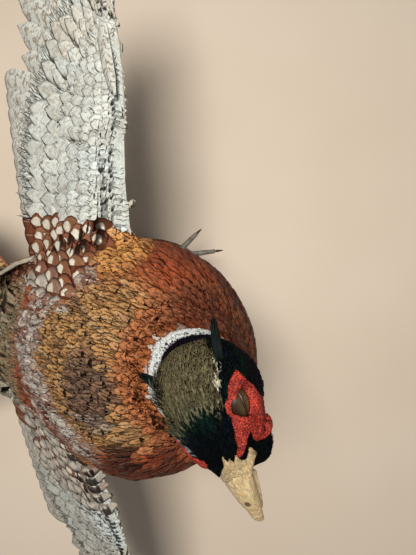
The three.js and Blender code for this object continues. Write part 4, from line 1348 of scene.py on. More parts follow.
def wing_blades(side, plans, tip, seed):
    """The feathers of one group of a wing."""
    wing = WING[side]
    blades = []
    for i, (place, chord, level, angle, length, width, droop) in enumerate(plans):
        root = wing.at(place, chord, level)
        roll = -wing.side * math.radians(4.5)
        along = unit(wing.along(angle))
        shape = (length, width, droop, roll, wing.side, tip, WING_ROWS, seed + i)
        blades.append(long_feather(root, along, wing.up, *shape))
    return blades


def tail_blade(side, i):
    """One tail feather; the middle pair is the longest."""
    share = i / 9
    angle = side * math.radians(1.5 + 4.1 * i)
    along = TAIL.forward * math.cos(angle) - TAIL.left * math.sin(angle)
    up = unit(TAIL.up - TAIL.left * side * 0.02 * i)
    root = TAIL.at(0, -side * (3 + 2.6 * i), -2.2 - 0.35 * i if i else side * 0.35)
    roll = -side * math.radians(4.5 if i else 2)
    length = 430 * (1 - 0.68 * share**0.8)
    return long_feather(root, along, up, length, 34 - 0.5 * i, 12 - i, roll, side, 0.1, TAIL_ROWS, 40 + i)


# ------------------------------------------------------------------ bare face, eye and bill
BUD_TRIES, BUDS_COMPARED = 4000, 160
BUD_GAP, BUD_RADIUS, BUD_HEIGHT = 0.62, 0.33, 0.46
SKIN_GRID, SKIN_THICKNESS = 0.22, 0.9
HORN_GRID, HORN_THICKNESS = 0.3, 1.0
LID_THICKNESS = 0.5
# the ragged edge of the horn on the forehead, as places on the head's own axes
BILL_CAP = [(21.5, -5.2), (19, -4.2), (16.5, -1.6), (14.4, 1.0), (10.4, 2.7), (13.2, 3.4), (12.4, 4.4), (13.9, 5.2)]
BILL_CAP += [(11.6, 7.0), (14.4, 7.6), (15.0, 8.8), (13.4, 10.2), (10.8, 12.2), (15, 11.4), (19.1, 9.0), (21.5, 7.4)]


def distance_to(outline, a, b):
    """Distance of points from a closed outline, and the nearest points on it."""
    best = np.full(len(a), 1e9)
    where = np.zeros((len(a), 2))
    p = np.stack([a, b], -1)
    for start, end in zip(outline, outline[1:] + outline[:1]):
        start, end = np.array(start, float), np.array(end, float)
        t = np.clip(((p - start) @ (end - start)) / max(np.dot(end - start, end - start), 1e-9), 0, 1)
        near = start + t[:, None] * (end - start)
        d = np.linalg.norm(p - near, axis=1)
        closer = d < best
        best[closer] = d[closer]
        where[closer] = near[closer]
    return best, where


def eye_outline(grow=0.0):
    """The gap between the lids, as places on the head's own axes."""
    turns = np.linspace(0, 2 * math.pi, 40, endpoint=False)
    c, s = math.cos(-0.25), math.sin(-0.25)
    face = bpy.context.scene.pheasant_face
    half_long, half_high = face.eye_length / 2 / MM + grow, face.eye_height / 2 / MM + grow
    long, high = half_long * np.cos(turns), half_high * np.sin(turns) * (1 - 0.25 * np.cos(turns) ** 4)
    return [(EYE_AT[0] + x * c - y * s, EYE_AT[1] + x * s + y * c) for x, y in zip(long, high)]


class HeadSurface:
    """The head's outer form, smoothed, to lay thin pieces on."""

    def __init__(self):
        obj = solid_copy("head", "head_form")
        apply_modifier(obj, "REMESH", mode="VOXEL", voxel_size=0.0008)
        mesh = obj.data
        points = spread(points_of(mesh), edges_of(mesh), 4)
        self.tree = BVHTree.FromPolygons(points.tolist(), [list(p.vertices) for p in mesh.polygons])
        bpy.data.objects.remove(obj)

    def from_side(self, side, f, u):
        """How far out the head's side is at a place and level."""
        start = HEAD.at(f, side * 40, u)
        hit = self.tree.ray_cast(Vector(start), Vector(-side * HEAD.left))
        return side * HEAD.local(np.array([hit[0]]))[1][0] if hit[0] is not None else None

    def from_top(self, f, l):
        """How high the head's top is at a place."""
        start = HEAD.at(f, l, 40)
        hit = self.tree.ray_cast(Vector(start), Vector(-HEAD.up))
        return HEAD.local(np.array([hit[0]]))[2][0] if hit[0] is not None else None


def patch(name, outline, hole, spacing, place):
    """An open sheet inside an outline and round a hole; place gives the points of its grid."""
    a0, b0 = np.min(outline, axis=0)
    a1, b1 = np.max(outline, axis=0)
    na, nb = int((a1 - a0) / spacing) + 2, int((b1 - b0) / spacing) + 2
    ga, gb = np.meshgrid(a0 + np.arange(na) * spacing, b0 + np.arange(nb) * spacing, indexing="ij")
    a, b = ga.ravel(), gb.ravel()
    inside = in_outline(outline, a, b)
    if hole:
        inside &= ~in_outline(hole, a, b)
    grid = inside.reshape(na, nb)
    quads = []
    for i in range(na - 1):
        for j in range(nb - 1):
            if grid[i, j] and grid[i + 1, j] and grid[i, j + 1] and grid[i + 1, j + 1]:
                quads.append((i * nb + j, (i + 1) * nb + j, (i + 1) * nb + j + 1, i * nb + j + 1))
    quads = np.array(quads)
    uses = np.bincount(quads.ravel(), minlength=na * nb)
    border = (uses > 0) & (uses < 4)
    edge, near = distance_to(outline, a, b)
    if hole:
        inner, near_hole = distance_to(hole, a, b)
        near = np.where((inner < edge)[:, None], near_hole, near)
        edge = np.minimum(edge, inner)
    snap = border & (edge < spacing * 1.6)
    a, b = np.where(snap, near[:, 0], a), np.where(snap, near[:, 1], b)
    edge = np.where(snap, 0, edge)
    used = np.unique(quads)
    index = np.full(na * nb, -1)
    index[used] = np.arange(len(used))
    points = place(a[used], b[used], edge[used])
    quads = index[quads]
    mesh = raw_mesh(name, points, quads.ravel(), np.arange(len(quads)) * 4)
    face_outwards(mesh)
    return new_object(name, mesh)


def cap_depth(obj, way, thick):
    """Closes an open sheet with a back that lies deeper along a way."""
    mesh = obj.data
    outward = np.mean(normals_of(mesh) @ way)
    if outward < 0:
        mesh.flip_normals()
    apply_modifier(obj, "SOLIDIFY", thickness=thick * MM, offset=-1.0)
    smooth_faces(obj)
    return obj


def face_skin(side_name, surface, seed):
    """Red, papillose bare skin round one eye."""
    side = 1 if side_name == "left" else -1
    outline, hole = FACE[side_name], eye_outline()
    rng = np.random.default_rng(seed)
    buds = []
    low, high = np.min(outline, axis=0), np.max(outline, axis=0)
    for _ in range(BUD_TRIES):
        p = rng.uniform(low, high)
        if all((p[0] - q[0]) ** 2 + (p[1] - q[1]) ** 2 > BUD_GAP**2 for q in buds[-BUDS_COMPARED:]):
            buds.append(p)
    tree = kdtree.KDTree(len(buds))
    for i, p in enumerate(buds):
        tree.insert((p[0], p[1], 0), i)
    tree.balance()
    size = rng.uniform(0.6, 1.25, len(buds))
    thickness = 1.4 if side == 1 else 0.7

    def place(a, b, edge):
        points = np.zeros((len(a), 3))
        fold = np.array([0.35 * math.sin(1.15 * x + 0.9 * y + 0.8 * math.sin(0.7 * y)) for x, y in zip(a, b)])
        last = 9.0
        for k, (x, y) in enumerate(zip(a, b)):
            out = surface.from_side(side, x, y)
            out = last if out is None else out
            last = out
            _, i, near = tree.find((x, y, 0))
            bud = BUD_HEIGHT * size[i] * math.exp(-((near / BUD_RADIUS) ** 2))
            rise = thickness * (1 - math.exp(-edge[k] / 0.8)) - 0.55
            points[k] = HEAD.at(x, side * (out + rise + (bud + 0.25 * fold[k]) * min(1, edge[k] / 0.7)), y)
        return points

    obj = patch("face_skin_" + side_name, outline, hole, SKIN_GRID, place)
    return cap_depth(obj, side * HEAD.left, SKIN_THICKNESS)


def eye_ball(side_name):
    """A glass eye that fills the gap between the lids."""
    side = 1 if side_name == "left" else -1
    bpy.ops.mesh.primitive_uv_sphere_add(segments=56, ring_count=36, radius=1)
    obj = bpy.context.object
    obj.name = obj.data.name = "glass_eye_" + side_name
    mesh = obj.data
    co = points_of(mesh) * MM
    c, s = math.cos(EYE_TURN), math.sin(EYE_TURN)
    f, u, out = co[:, 0] * EYE_RADII[0], co[:, 1] * EYE_RADII[1], co[:, 2]
    fr, ur = f * c - u * s, f * s + u * c
    points = HEAD.at(EYE_AT[0], side * EYE_DEPTH, EYE_AT[1]) + np.outer(fr, HEAD.forward)
    set_points(mesh, points + np.outer(side * out * EYE_RADII[2], HEAD.left) + np.outer(ur, HEAD.up))
    if side == 1:
        mesh.flip_normals()
    disc = np.where(out > 0, np.hypot(fr + 0.2, ur + 3.4) / 6.0, 1.4)
    keep(mesh, "disc", "FLOAT", disc)
    face_outwards(mesh)
    smooth_faces(obj)
    return obj


def glass_level(x, y):
    """How far out the glass lies at a place on the side of the head."""
    c, s = math.cos(EYE_TURN), math.sin(EYE_TURN)
    f, u = x - EYE_AT[0], y - EYE_AT[1]
    along, up = (f * c + u * s) / EYE_RADII[0], (u * c - f * s) / EYE_RADII[1]
    return EYE_DEPTH + EYE_RADII[2] * math.sqrt(max(0.05, 1 - along**2 - up**2))


def eyelid(side_name):
    """The dark moist rim round the eye."""
    side = 1 if side_name == "left" else -1
    ring = np.array(eye_outline(0.15))
    count, around = len(ring), 10
    points = np.zeros((count, around, 3))
    for k, (x, y) in enumerate(ring):
        before, after = ring[k - 1], ring[(k + 1) % count]
        out = glass_level(x, y)
        middle = HEAD.at(x, side * out, y)
        along = unit(HEAD.at(after[0], side * out, after[1]) - HEAD.at(before[0], side * out, before[1]))
        outward = unit(np.cross(along, side * HEAD.left))
        thick = LID_THICKNESS + 0.08 * math.sin(5 * k / count * 6.28)
        for j in range(around):
            turn = 2 * math.pi * j / around
            bulge = side * HEAD.left * thick * 1.1 * math.sin(turn)
            points[k, j] = middle + outward * thick * math.cos(turn) + bulge
    faces = []
    for k in range(count):
        for j in range(around):
            a, b = k * around + j, k * around + (j + 1) % around
            c, d = ((k + 1) % count) * around + (j + 1) % around, ((k + 1) % count) * around + j
            faces += [a, b, c, d]
    name = "eyelid_" + side_name
    obj = new_object(name, raw_mesh(name, points.reshape(-1, 3), faces, np.arange(count * around) * 4))
    face_outwards(obj.data)
    smooth_faces(obj)
    return obj


def bill_cap(surface):
    """The ragged, flaking horn where the bill meets the forehead."""

    def place(a, b, edge):
        points = np.zeros((len(a), 3))
        for k, (x, y) in enumerate(zip(a, b)):
            high = surface.from_top(x, y)
            high = -4.0 if high is None else high
            ridge = BILL.at(x, 0, np.interp(x, [10, 14, 20, 27], [6.5, 4.6, 3.4, 1.4]))
            level = (ridge - HEAD.origin) @ HEAD.up
            across = (y - 2.5) / 9.0
            level = level - 3.6 * across**2
            grain = 0.35 * math.sin(2.3 * y + 0.4 * x) + 0.25 * math.sin(5.1 * y - 0.9 * x + 1.0)
            high = max(high, level - 0.4) if x > 15 else high + 0.2
            lift = 0.8 * (1 - math.exp(-edge[k] / 0.6)) + 0.3 * grain * min(1, edge[k])
            lift = lift * float(step(21.0, 17.5, x)) - 0.25 * float(step(17.5, 21.0, x))
            points[k] = HEAD.at(x, y, high + lift - 0.1)
        return points

    obj = patch("bill_base_flakes", BILL_CAP, None, HORN_GRID, place)
    return cap_depth(obj, HEAD.up, HORN_THICKNESS)


def horn_material():
    """Old horn, streaked along the bill, with a grey on its right side that is painted shade, and one dark chip near
    the tip.
    """
    n = Nodes("old bill horn")
    place = n.attribute("place", "Vector")
    split = n.add("ShaderNodeSeparateXYZ", "X", {0: place})
    across, high = split.node.outputs["Y"], split.node.outputs["Z"]
    run = n.noise(1.0, 4, place, rough=0.6, stretch=(0.16, 1.5, 1.5))
    flake = n.noise(1.0, 4, place, rough=0.65, stretch=(0.45, 0.8, 0.8))
    base = n.ramp(split, 24, 13)
    colour = n.mix(n.ramp(run, 0.35, 0.68), rgb(178, 160, 124), rgb(146, 124, 86))
    # painted shade: grey over the bill's right side
    colour = n.mix(n.times(n.ramp(across, 1.5, -4.0), 0.6), colour, rgb(146, 140, 122))
    warm = n.times(n.ramp(flake, 0.5, 0.7), 0.55)
    colour = n.mix(warm, colour, rgb(168, 128, 72))
    crack = n.ramp(n.math("ABSOLUTE", n.minus(flake, 0.5)), 0.022, 0.004)
    crack = n.times(crack, n.math("MULTIPLY_ADD", base, 0.6, 0.14))
    colour = n.mix(crack, colour, rgb(92, 66, 38))
    flat = n.add("ShaderNodeVectorMath", "Vector", {0: place, 1: (1, 1, 0.2)}, operation="MULTIPLY")
    gap = n.add("ShaderNodeVectorMath", "Value", {0: flat, 1: (30.8, 1.9, -0.4)}, operation="DISTANCE")
    chip = n.ramp(n.plus(gap, n.times(run, 1.2)), 2.1, 1.3)
    colour = n.mix(n.times(chip, 0.95), colour, rgb(70, 56, 40))
    colour = n.mix(n.times(n.ramp(high, -8.0, -10.5), 0.5), colour, rgb(120, 100, 70))
    height = n.minus(n.plus(run, n.times(flake, 1.3)), n.plus(crack, chip))
    n.finish(Base_Color=colour, Roughness=n.ramp(run, 0.3, 0.7, 0.36, 0.52), Normal=n.bump(height, 0.7, 0.0004))
    return n.finish(Specular_IOR_Level=0.4)


def mark_place(obj, axes):
    """Keeps each point's place on the given axes, in millimetres, for streaks that follow the form."""
    keep(obj.data, "place", "FLOAT_VECTOR", np.stack(axes.local(points_of(obj.data)), -1))


def face_material():
    """Blood-red skin with pale pink patches painted as highlights, and darker specks between its buds."""
    n = Nodes("papillose red skin")
    buds = n.cells(1500)
    blood = n.noise(420, 3)
    colour = n.mottled(blood, rgb(186, 54, 32), rgb(132, 30, 18))
    # painted highlight: pale pink patches
    colour = n.mix(n.times(n.ramp(n.noise(300, 3), 0.55, 0.72), 0.5), colour, rgb(190, 92, 74))
    colour = n.mix(n.ramp(buds, 0.35, 0.62, 0.0, 0.75), colour, rgb(66, 12, 12))
    colour = n.mix(n.times(n.ramp(n.noise(1100, 3, rough=0.7), 0.57, 0.66), 0.8), colour, rgb(44, 12, 12))
    n.finish(Base_Color=colour, Roughness=n.ramp(blood, 0.3, 0.7, 0.5, 0.66))
    return n.finish(Normal=n.bump(buds, 0.9, 0.0005), Specular_IOR_Level=0.3)


def eye_material():
    """Dull amber glass round a black pupil."""
    n = Nodes("amber glass eye")
    disc = n.attribute("disc", "Fac")
    amber = n.mottled(n.noise(700, 3), rgb(96, 78, 36), rgb(70, 56, 26))
    amber = n.mix(n.ramp(disc, 0.55, 1.0), amber, rgb(60, 48, 26))
    colour = n.mix(n.ramp(disc, 0.34, 0.29), amber, (0.004, 0.003, 0.003))
    colour = n.mix(n.ramp(disc, 1.12, 1.3), colour, rgb(40, 26, 16))
    n.finish(Base_Color=colour, Roughness=n.ramp(n.noise(90, 2), 0.3, 0.7, 0.2, 0.3))
    return n.finish(Specular_IOR_Level=0.3)


TUFTS = {
    # each ear tuft from its root to its tip, on the head's own axes
    "left": ((-21, 13.6, 8.8), (-37.5, 16.2, 9.4), 1.9),
    "right": ((-19, -15.5, 3.5), (-26.5, -25.5, 3.2), 2.6),
}


def ear_tuft(side_name, material, seed):
    """A bunch of narrow raised feathers behind the cheek."""
    rng = np.random.default_rng(seed)
    root, tip, spread_out = TUFTS[side_name]
    root, tip = HEAD.at(*root), HEAD.at(*tip)
    along = unit(tip - root)
    side = unit(np.cross(along, HEAD.up))
    over = np.cross(side, along)
    rows, columns, _ = vane_shape("plume")
    count = 46
    points = np.zeros((count, len(rows), len(columns), 3))
    for i in range(count):
        away, lift = rng.normal(0, 0.42), rng.normal(0, 0.42)
        start = root + (side * away + over * lift) * spread_out * 0.8
        end = root + (tip - root) * rng.uniform(0.72, 1.04) + (side * away + over * lift) * spread_out * 0.55
        turn = rng.uniform(0, math.pi)
        flat = side * math.cos(turn) + over * math.sin(turn)
        face = np.cross(flat, along)
        for k, (place, wide) in enumerate(rows):
            middle = start + (end - start) * place + over * 0.9 * math.sin(place * 2.6) * (1 if lift > 0 else -0.4)
            for c, column in enumerate(columns):
                points[i, k, c] = middle + flat * column * 0.62 * wide + face * (1 - column**2) * 0.12
    m = Markings(count)
    shade = rng.uniform(0.6, 1.5, count)[:, None]
    m.tone, m.heart, m.rim = rgb(9, 22, 20) * shade, rgb(12, 34, 28), rgb(5, 10, 12)
    m.marks[:, 2] = 0.06
    spots = rng.uniform(0.02, 0.98, (count, 2))
    return vane_mesh("ear_tuft_vanes_" + side_name, points, rows, columns, spots, m, material, rng)


class PHEASANT_OT_face(bpy.types.Operator):
    """Make the bare red skin, the lids, the glass eyes and the bill"""

    bl_idname = "pheasant.face"
    bl_label = "Face and bill"

    def execute(self, context):
        surface = HeadSurface()
        grain = context.scene.pheasant_face.horn_grain / MM
        skin, glass, horn = face_material(), eye_material(), horn_material()
        rim = lid_material()
        for index, side in enumerate(SIDES):
            bare = face_skin(side, surface, 60 + index)
            bare.data.materials.append(skin)
            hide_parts("facial_skin_" + side)
            eye = eye_ball(side)
            eye.data.materials.append(glass)
            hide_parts("eye_" + side)
            lid = eyelid(side)
            lid.data.materials.append(rim)
            for piece, slot in ((bare, "facial_skin"), (eye, "eye"), (lid, "facial_skin")):
                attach(piece, "root")
        green = feather_material("ear tuft feather", barbs=30, gloss=0.5, shine=0.12, shaft_show=0.0)
        for index, side in enumerate(SIDES):
            tuft = ear_tuft(side, green, 80 + index)
            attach(tuft, "root")
            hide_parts("ear_tuft_" + side)
        cap = bill_cap(surface)
        mark_place(cap, BILL)
        pieces = [cap]
        for node in ("bill_upper", "bill_lower"):
            half = solid_copy(node, node + "_horn")
            apply_modifier(half, "REMESH", mode="VOXEL", voxel_size=0.00045)
            mesh = half.data
            points = spread(points_of(mesh), edges_of(mesh), 10)
            set_points(mesh, points)
            rough = (wave_noise(points, 2.2, 5) * 0.4 + wave_noise(points, 6, 6) * 0.6) * grain
            set_points(mesh, points + normals_of(mesh) * (rough + 0.15)[:, None])
            smooth_faces(half)
            mark_place(half, BILL)
            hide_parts(node)
            pieces.append(half)
        for piece in pieces:
            piece.data.materials.append(horn)
            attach(piece, "root")
        return {"FINISHED"}


# ------------------------------------------------------------------ operators
class FaceSizes(bpy.types.PropertyGroup):
    eye_length: number_property("Eye length", "Length of the gap between the lids", 0.0116, unit="LENGTH")
    eye_height: number_property("Eye height", "Height of the gap between the lids", 0.0046, unit="LENGTH")
    horn_grain: number_property("Horn grain", "Height of the bill's rough grain", 0.00026, unit="LENGTH")


class CoatSizes(bpy.types.PropertyGroup):
    depth: number_property("Coat depth", "How far the hide lies below the body", 0.0024, unit="LENGTH")
    voxel: number_property("Hide detail", "Size of the hide's faces", 0.0019, unit="LENGTH")
    ruffle: number_property("Ruffle", "How unevenly the feathers lie", 1.0, subtype="FACTOR")


class PHEASANT_OT_hide(bpy.types.Operator):
    """Make the one skin that carries the coat"""

    bl_idname = "pheasant.hide"
    bl_label = "Hide"

    def execute(self, context):
        sizes = context.scene.pheasant_coat
        skin = make_hide(sizes.voxel, sizes.depth / MM)
        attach(skin, "root")
        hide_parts(*FLESH)
        return {"FINISHED"}


WING_BARBS = 2200
COAT_FINISHES = {
    "contour": dict(name="contour feather", barbs=30, spot=(0.13, 0.3, 0.5)),
    "loose": dict(name="loose rump feather", barbs=60, mottle=0.3, spot=(0.12, 0.3, 0.5)),
    "small": dict(
        name="head and neck feather", barbs=8, gloss=0.7, shine=0.02, mottle=0.3, shaft_show=0, spot=(0.2, 0.3, 0.6)
    ),
    "covert": dict(
        name="wing covert",
        barbs=40,
        mottle=0.1,
        speckle=0.16,
        fleck=rgb(150, 138, 118),
        shaft_show=0.12,
        streak=0.12,
        fray_out=0.2,
    ),
    "loose_covert": dict(name="loose covert barb", barbs=4, mottle=0.1, shaft_show=0, streak=0.12),
    "scapular": dict(
        name="scapular feather",
        barbs=34,
        mottle=0.18,
        shaft_show=0.1,
        spot=(0.21, 0.17, 0.7),
        always=1.5,
        streak=0.2,
        fray_out=0.25,
    ),
    "barb": dict(name="loose barb", barbs=4, mottle=0.3, shaft_show=0, spot=(0.2, 0.3, 0.6)),
}
FLIGHT_FINISH = dict(
    name="flight feather",
    barbs=150,
    mottle=0.14,
    speckle=0.2,
    fleck=rgb(146, 132, 108),
    shaft_show=0.3,
    streak=0.14,
    fray_out=0.2,
)
COATS = {
    # piece: part of the hide, vane shape, finish, share of the spacing, shares of length, width and lift,
    # and the share of vanes in the edge's colour
    "coat_back": ("back", "round", "contour", 1, (1, 1, 1), 0),
    "coat_breast": ("breast", "round", "contour", 1, (1, 1, 1), 0),
    "coat_rump": ("rump", "soft", "loose", 1, (1, 1, 1), 0),
    "coat_thighs": ("thighs", "soft", "loose", 1, (1, 1, 1), 0),
    "coat_neck": ("neck", "hair", "small", 1, (1, 1, 1), 0),
    "coat_head": ("head", "hair", "small", 1, (1, 1, 1), 0),
    "coat_wing_left": ("wing_left", "round", "covert", 1, (1, 1, 1), 0),
    "coat_wing_right": ("wing_right", "round", "covert", 1, (1, 1, 1), 0),
    "coat_back_barbs": ("back", "wisp", "barb", 0.5, (0.62, 0.17, 1.25), 0.34),
    "coat_breast_barbs": ("breast", "wisp", "barb", 0.56, (0.62, 0.17, 1.25), 0.25),
    "coat_rump_plumes": ("tail_cover", "plume", "loose", 1.1, (3.0, 1.0, 2.2), 0.3),
}


class PHEASANT_OT_coat(bpy.types.Operator):
    """Lay the contour feathers over the hide"""

    bl_idname = "pheasant.coat"
    bl_label = "Contour feathers"

    def execute(self, context):
        ruffle = context.scene.pheasant_coat.ruffle
        hide = Hide(bpy.data.objects["hide"])
        p, n, zone = hide.points, hide.normals, hide.zones
        spacing = plumage(p, n, zone).sizes[:, 0]
        a, _, h = TRUNK.local(p)
        f, l, u = HEAD.local(p)
        bare = (in_outline(FACE["left"], f, u) & (l > 4)) | (in_outline(FACE["right"], f, u) & (l < -4))
        bare |= (f > 18.5) | in_outline(BILL_CAP, f, l) & (u > 0) & (f > 13)
        first = np.array([zone[name] for name in ZONES]).argmax(axis=0)
        is_zone = {name: first == i for i, name in enumerate(ZONES)}
        surfaces = {side: WingSurface(side, hide) for side in SIDES}

        def bared(side):
            # the wing's leading edge and underside, clear of its thin trailing edge
            span, chord, _ = WING[side].local(p)
            lead, trail = surfaces[side].edges(span)
            facing = n @ WING[side].up
            return (facing < 0.15) & (chord < lead + 5) | (facing < -0.3) & (chord < trail - 14)

        shoulders = np.maximum(scapular_share(p, 1, "left"), scapular_share(p, 1, "right"))
        parts = {
            "back": is_zone["body"] & (h > 0) & (shoulders < 0.5),
            "breast": is_zone["body"] & (h <= 0),
            "rump": is_zone["rump"],
            "thighs": is_zone["thigh"],
            "neck": is_zone["neck"],
            "head": is_zone["head"] & ~bare,
            "wing_left": is_zone["wing_left"] & bared("left"),
            "wing_right": is_zone["wing_right"] & bared("right"),
            "tail_cover": (is_zone["rump"] | is_zone["body"] & (a < -48)) & (h > -38),
        }
        finishes = {key: feather_material(**plan) for key, plan in COAT_FINISHES.items()}
        slots = {"neck": "head_feather", "head": "head_feather"}
        slots |= {"wing_" + side: "covert_feather" for side in SIDES}
        for index, (name, (part, shape, finish, thin, scale, mingle)) in enumerate(COATS.items()):
            chosen = parts[part][hide.faces].any(axis=1)
            roots, faces = scattered(hide, spacing * thin, 11 + index, chosen.astype(float))
            free = 1.0 if shape == "plume" else 0.0
            laid = (shape, finishes[finish], 31 + index, scale, ruffle, mingle, free)
            coat = grow_coat(name, hide, roots, faces, *laid)
            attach(coat, "root")
            slots.get(part, "body_feather")
        for side, surface in surfaces.items():
            layers = {
                "wing_coverts_": (covert_plan(side, surface), "covert", 90, "round", 3.5, "covert_feather"),
                "scapulars_": (scapular_plan(side), "scapular", 95, "round", 3.5, "body_feather"),
                "wing_barbs_": (barb_plan(side, surface, WING_BARBS), "loose_covert", 97, "wisp", 9, "covert_feather"),
            }
            for name, (plan, finish, seed, shape, sway, slot) in layers.items():
                piece = tiled_rows(name + side, surface, plan, finishes[finish], seed, shape, sway)
                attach(piece, "root")
        return {"FINISHED"}


class PHEASANT_OT_wings(bpy.types.Operator):
    """Make the primaries, secondaries, tertials and alula of both wings"""

    bl_idname = "pheasant.wings"
    bl_label = "Flight feathers"

    def execute(self, context):
        flight = feather_material(**FLIGHT_FINISH)
        c = plumage_colours()
        dark = blend(GREY, BROWN, 0.45)
        for side in SIDES:
            # painted shade: the right wing's flight feathers are a darker tan
            pale = blend(c.wing, TAN, 0.12 if side == "left" else 0.3)

            def tones(i):
                if i > 8:
                    return c.scapular, c.oval, MAROON, (0.0, 0.8, 0.06)
                return pale, dark, blend(c.wing, c.oval, 0.5), (9.0, 0.0, 0.03)

            groups = {
                "primaries": ([primary(i) for i in range(10)], 0.2),
                "secondaries": ([secondary(i) for i in range(11)] + [tertial(i) for i in range(3)], 1.3),
                "alula": ([ALULA], 0.4),
            }
            for part, (plans, tip) in groups.items():
                name = "wing_%s_%s" % (side, part)
                blades = wing_blades(side, plans, tip, seed=len(part))
                piece = long_feathers(name + "_vanes", blades, flight, tones)
                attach(piece, "root")
                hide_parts(name)
        return {"FINISHED"}


class PHEASANT_OT_tail(bpy.types.Operator):
    """Make the long barred tail feathers"""

    bl_idname = "pheasant.tail"
    bl_label = "Tail"

    def execute(self, context):
        vane = feather_material("tail feather", barbs=260, speckle=0.4, fleck=rgb(96, 70, 44))

        def tones(i):
            return rgb(176, 142, 92), rgb(52, 36, 26), rgb(142, 84, 62), (24.0, 0.0, 0.12)

        groups = {
            "tail_left": [(1, i) for i in range(8, 0, -1)],
            "tail_right": [(-1, i) for i in range(8, 0, -1)],
            "tail_middle": [(1, 0), (-1, 0)],
        }
        for node, plan in groups.items():
            piece = long_feathers(node + "_vanes", [tail_blade(side, i) for side, i in plan], vane, tones)
            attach(piece, "root")
            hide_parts(node)
        return {"FINISHED"}


# ------------------------------------------------------------------ legs and feet
# each toe's turn and length
TOES = {"middle": (0, 50), "outer": (38, 38), "inner": (-36, 36), "hind": (168, 15)}
TOE_DROP = 0.16  # how far a toe sinks by its tip, as a share of its length
# each row of shank scales: how far round the leg it lies, half its angle, its gap, its lift and its start
SHANK_ROWS = ((38, 41, 3.7, 0.42, 0), (-38, 41, 3.7, 0.42, 0.5), (140, 38, 2.9, 0.3, 0.3), (-140, 38, 2.9, 0.3, 0.8))
SCUTE_COLUMNS = 9


def scute(centre, along, front, radius, half_angle, length, lift, rows=5, thick=0.35):
    """Points of one scale that wraps a limb; it stands proud towards its lower end."""
    columns = SCUTE_COLUMNS
    across = unit(np.cross(along, front))
    angles = np.radians(np.linspace(-half_angle, half_angle, columns))
    top = np.zeros((rows, columns, 3))
    low = np.zeros((rows, columns, 3))
    for k, place in enumerate(np.linspace(0, 1, rows)):
        for c, angle in enumerate(angles):
            out = front * math.cos(angle) + across * math.sin(angle)
            rounded = length * (place - 0.5) * (1 - 0.22 * (c / (columns - 1) * 2 - 1) ** 2)
            bulge = lift * math.sin(min(1, 0.15 + place) * math.pi / 1.7)
            point = centre + along * rounded
            top[k, c] = point + out * (radius + bulge)
            low[k, c] = point + out * (radius + bulge - thick - 0.25)
    return top, low


def toe_radius(share):
    """A toe's radius at a share of its length."""
    return np.interp(share, [0, 0.5, 1], [4.0, 3.0, 2.1])


def leg_scutes(side_name):
    """The two rows of scales before and behind the shank, those along the toes and the pads below them."""
    leg = LEGS[side_name]
    ankle, foot = np.array(leg["ankle"], float), np.array(leg["foot"], float)
    shin = unit(foot - ankle)
    front = unit(np.array([0, -1, 0]) - shin * (-shin[1]))
    across = np.cross(shin, front)
    span = np.linalg.norm(foot - ankle)
    scutes = []
    for turn, half, gap, lift, skew in SHANK_ROWS:
        facing = front * math.cos(math.radians(turn)) + across * math.sin(math.radians(turn))
        at = 1.5 + skew * gap
        while at < span - 3:
            radius = np.interp(at, [5, span / 2, span], [4.6, 4.15, 4.6])
            scutes.append(scute(ankle + shin * at, shin, facing, radius, half, gap * 1.25, lift))
            at += gap
    for turn, length in TOES.values():
        yaw = math.radians(leg["side"] * (turn + leg["turn"]))
        toe = Axes(leg["foot"], unit([math.sin(yaw), -math.cos(yaw), 0.05]), (0, 0, 1))
        at = 4.5
        while at < length - 0.5:
            share = at / length
            middle = toe.at(at, 0, -TOE_DROP * length * share**2)
            along = unit(toe.forward - toe.up * 0.32 * share)
            up = unit(toe.up - along * np.dot(toe.up, along))
            scutes.append(scute(middle, along, up, toe_radius(share), 82, 3.3, 0.4))
            at += 2.7
        for share in (0.3, 0.55, 0.8) if length > 20 else (0.5,):
            middle = toe.at(length * share, 0, -TOE_DROP * length * share**2)
            pad = scute(middle, toe.forward, -toe.up, toe_radius(share) - 0.4, 66, 8.5, 0.0, 9, 0.6)
            for k in range(9):
                swell = 1.1 * math.sin(math.pi * k / 8) ** 0.7 * np.cos(np.linspace(-1.2, 1.2, SCUTE_COLUMNS))
                pad[0][k] -= toe.up * swell[:, None]
            scutes.append(pad)
    return scutes


def scute_material():
    """Grey leg scales, darker and browner in the furrows between them."""
    n = Nodes("leg scutes")
    _, along, side = n.vane()
    stain = n.noise(240, 4, rough=0.65)
    edge = n.math("MINIMUM", n.minus(0.5, side), n.math("MINIMUM", along, n.minus(1.0, along)))
    colour = n.mottled(stain, rgb(126, 122, 112), rgb(88, 82, 72))
    colour = n.mix(n.ramp(n.noise(90, 3), 0.5, 0.7, 0, 0.5), colour, rgb(140, 128, 100))
    colour = n.mix(n.ramp(edge, 0.14, 0.0, 0.0, 0.75), colour, rgb(50, 44, 38))
    n.finish(Base_Color=colour, Roughness=n.ramp(stain, 0.3, 0.7, 0.42, 0.58))
    return n.finish(Normal=n.bump(n.noise(1500, 3), 0.3, 0.0002), Specular_IOR_Level=0.35)


def leg_skin_material():
    """Fine pebbled skin between the scales."""
    n = Nodes("pebbled leg skin")
    pebbles = n.cells(1100)
    stain = n.noise(200, 4)
    colour = n.mottled(stain, rgb(108, 102, 92), rgb(74, 68, 60))
    colour = n.mix(n.ramp(pebbles, 0.3, 0.6, 0, 0.6), colour, rgb(44, 38, 34))
    n.finish(Base_Color=colour, Roughness=n.ramp(stain, 0.3, 0.7, 0.5, 0.66))
    return n.finish(Normal=n.bump(pebbles, 0.7, 0.0003), Specular_IOR_Level=0.3)


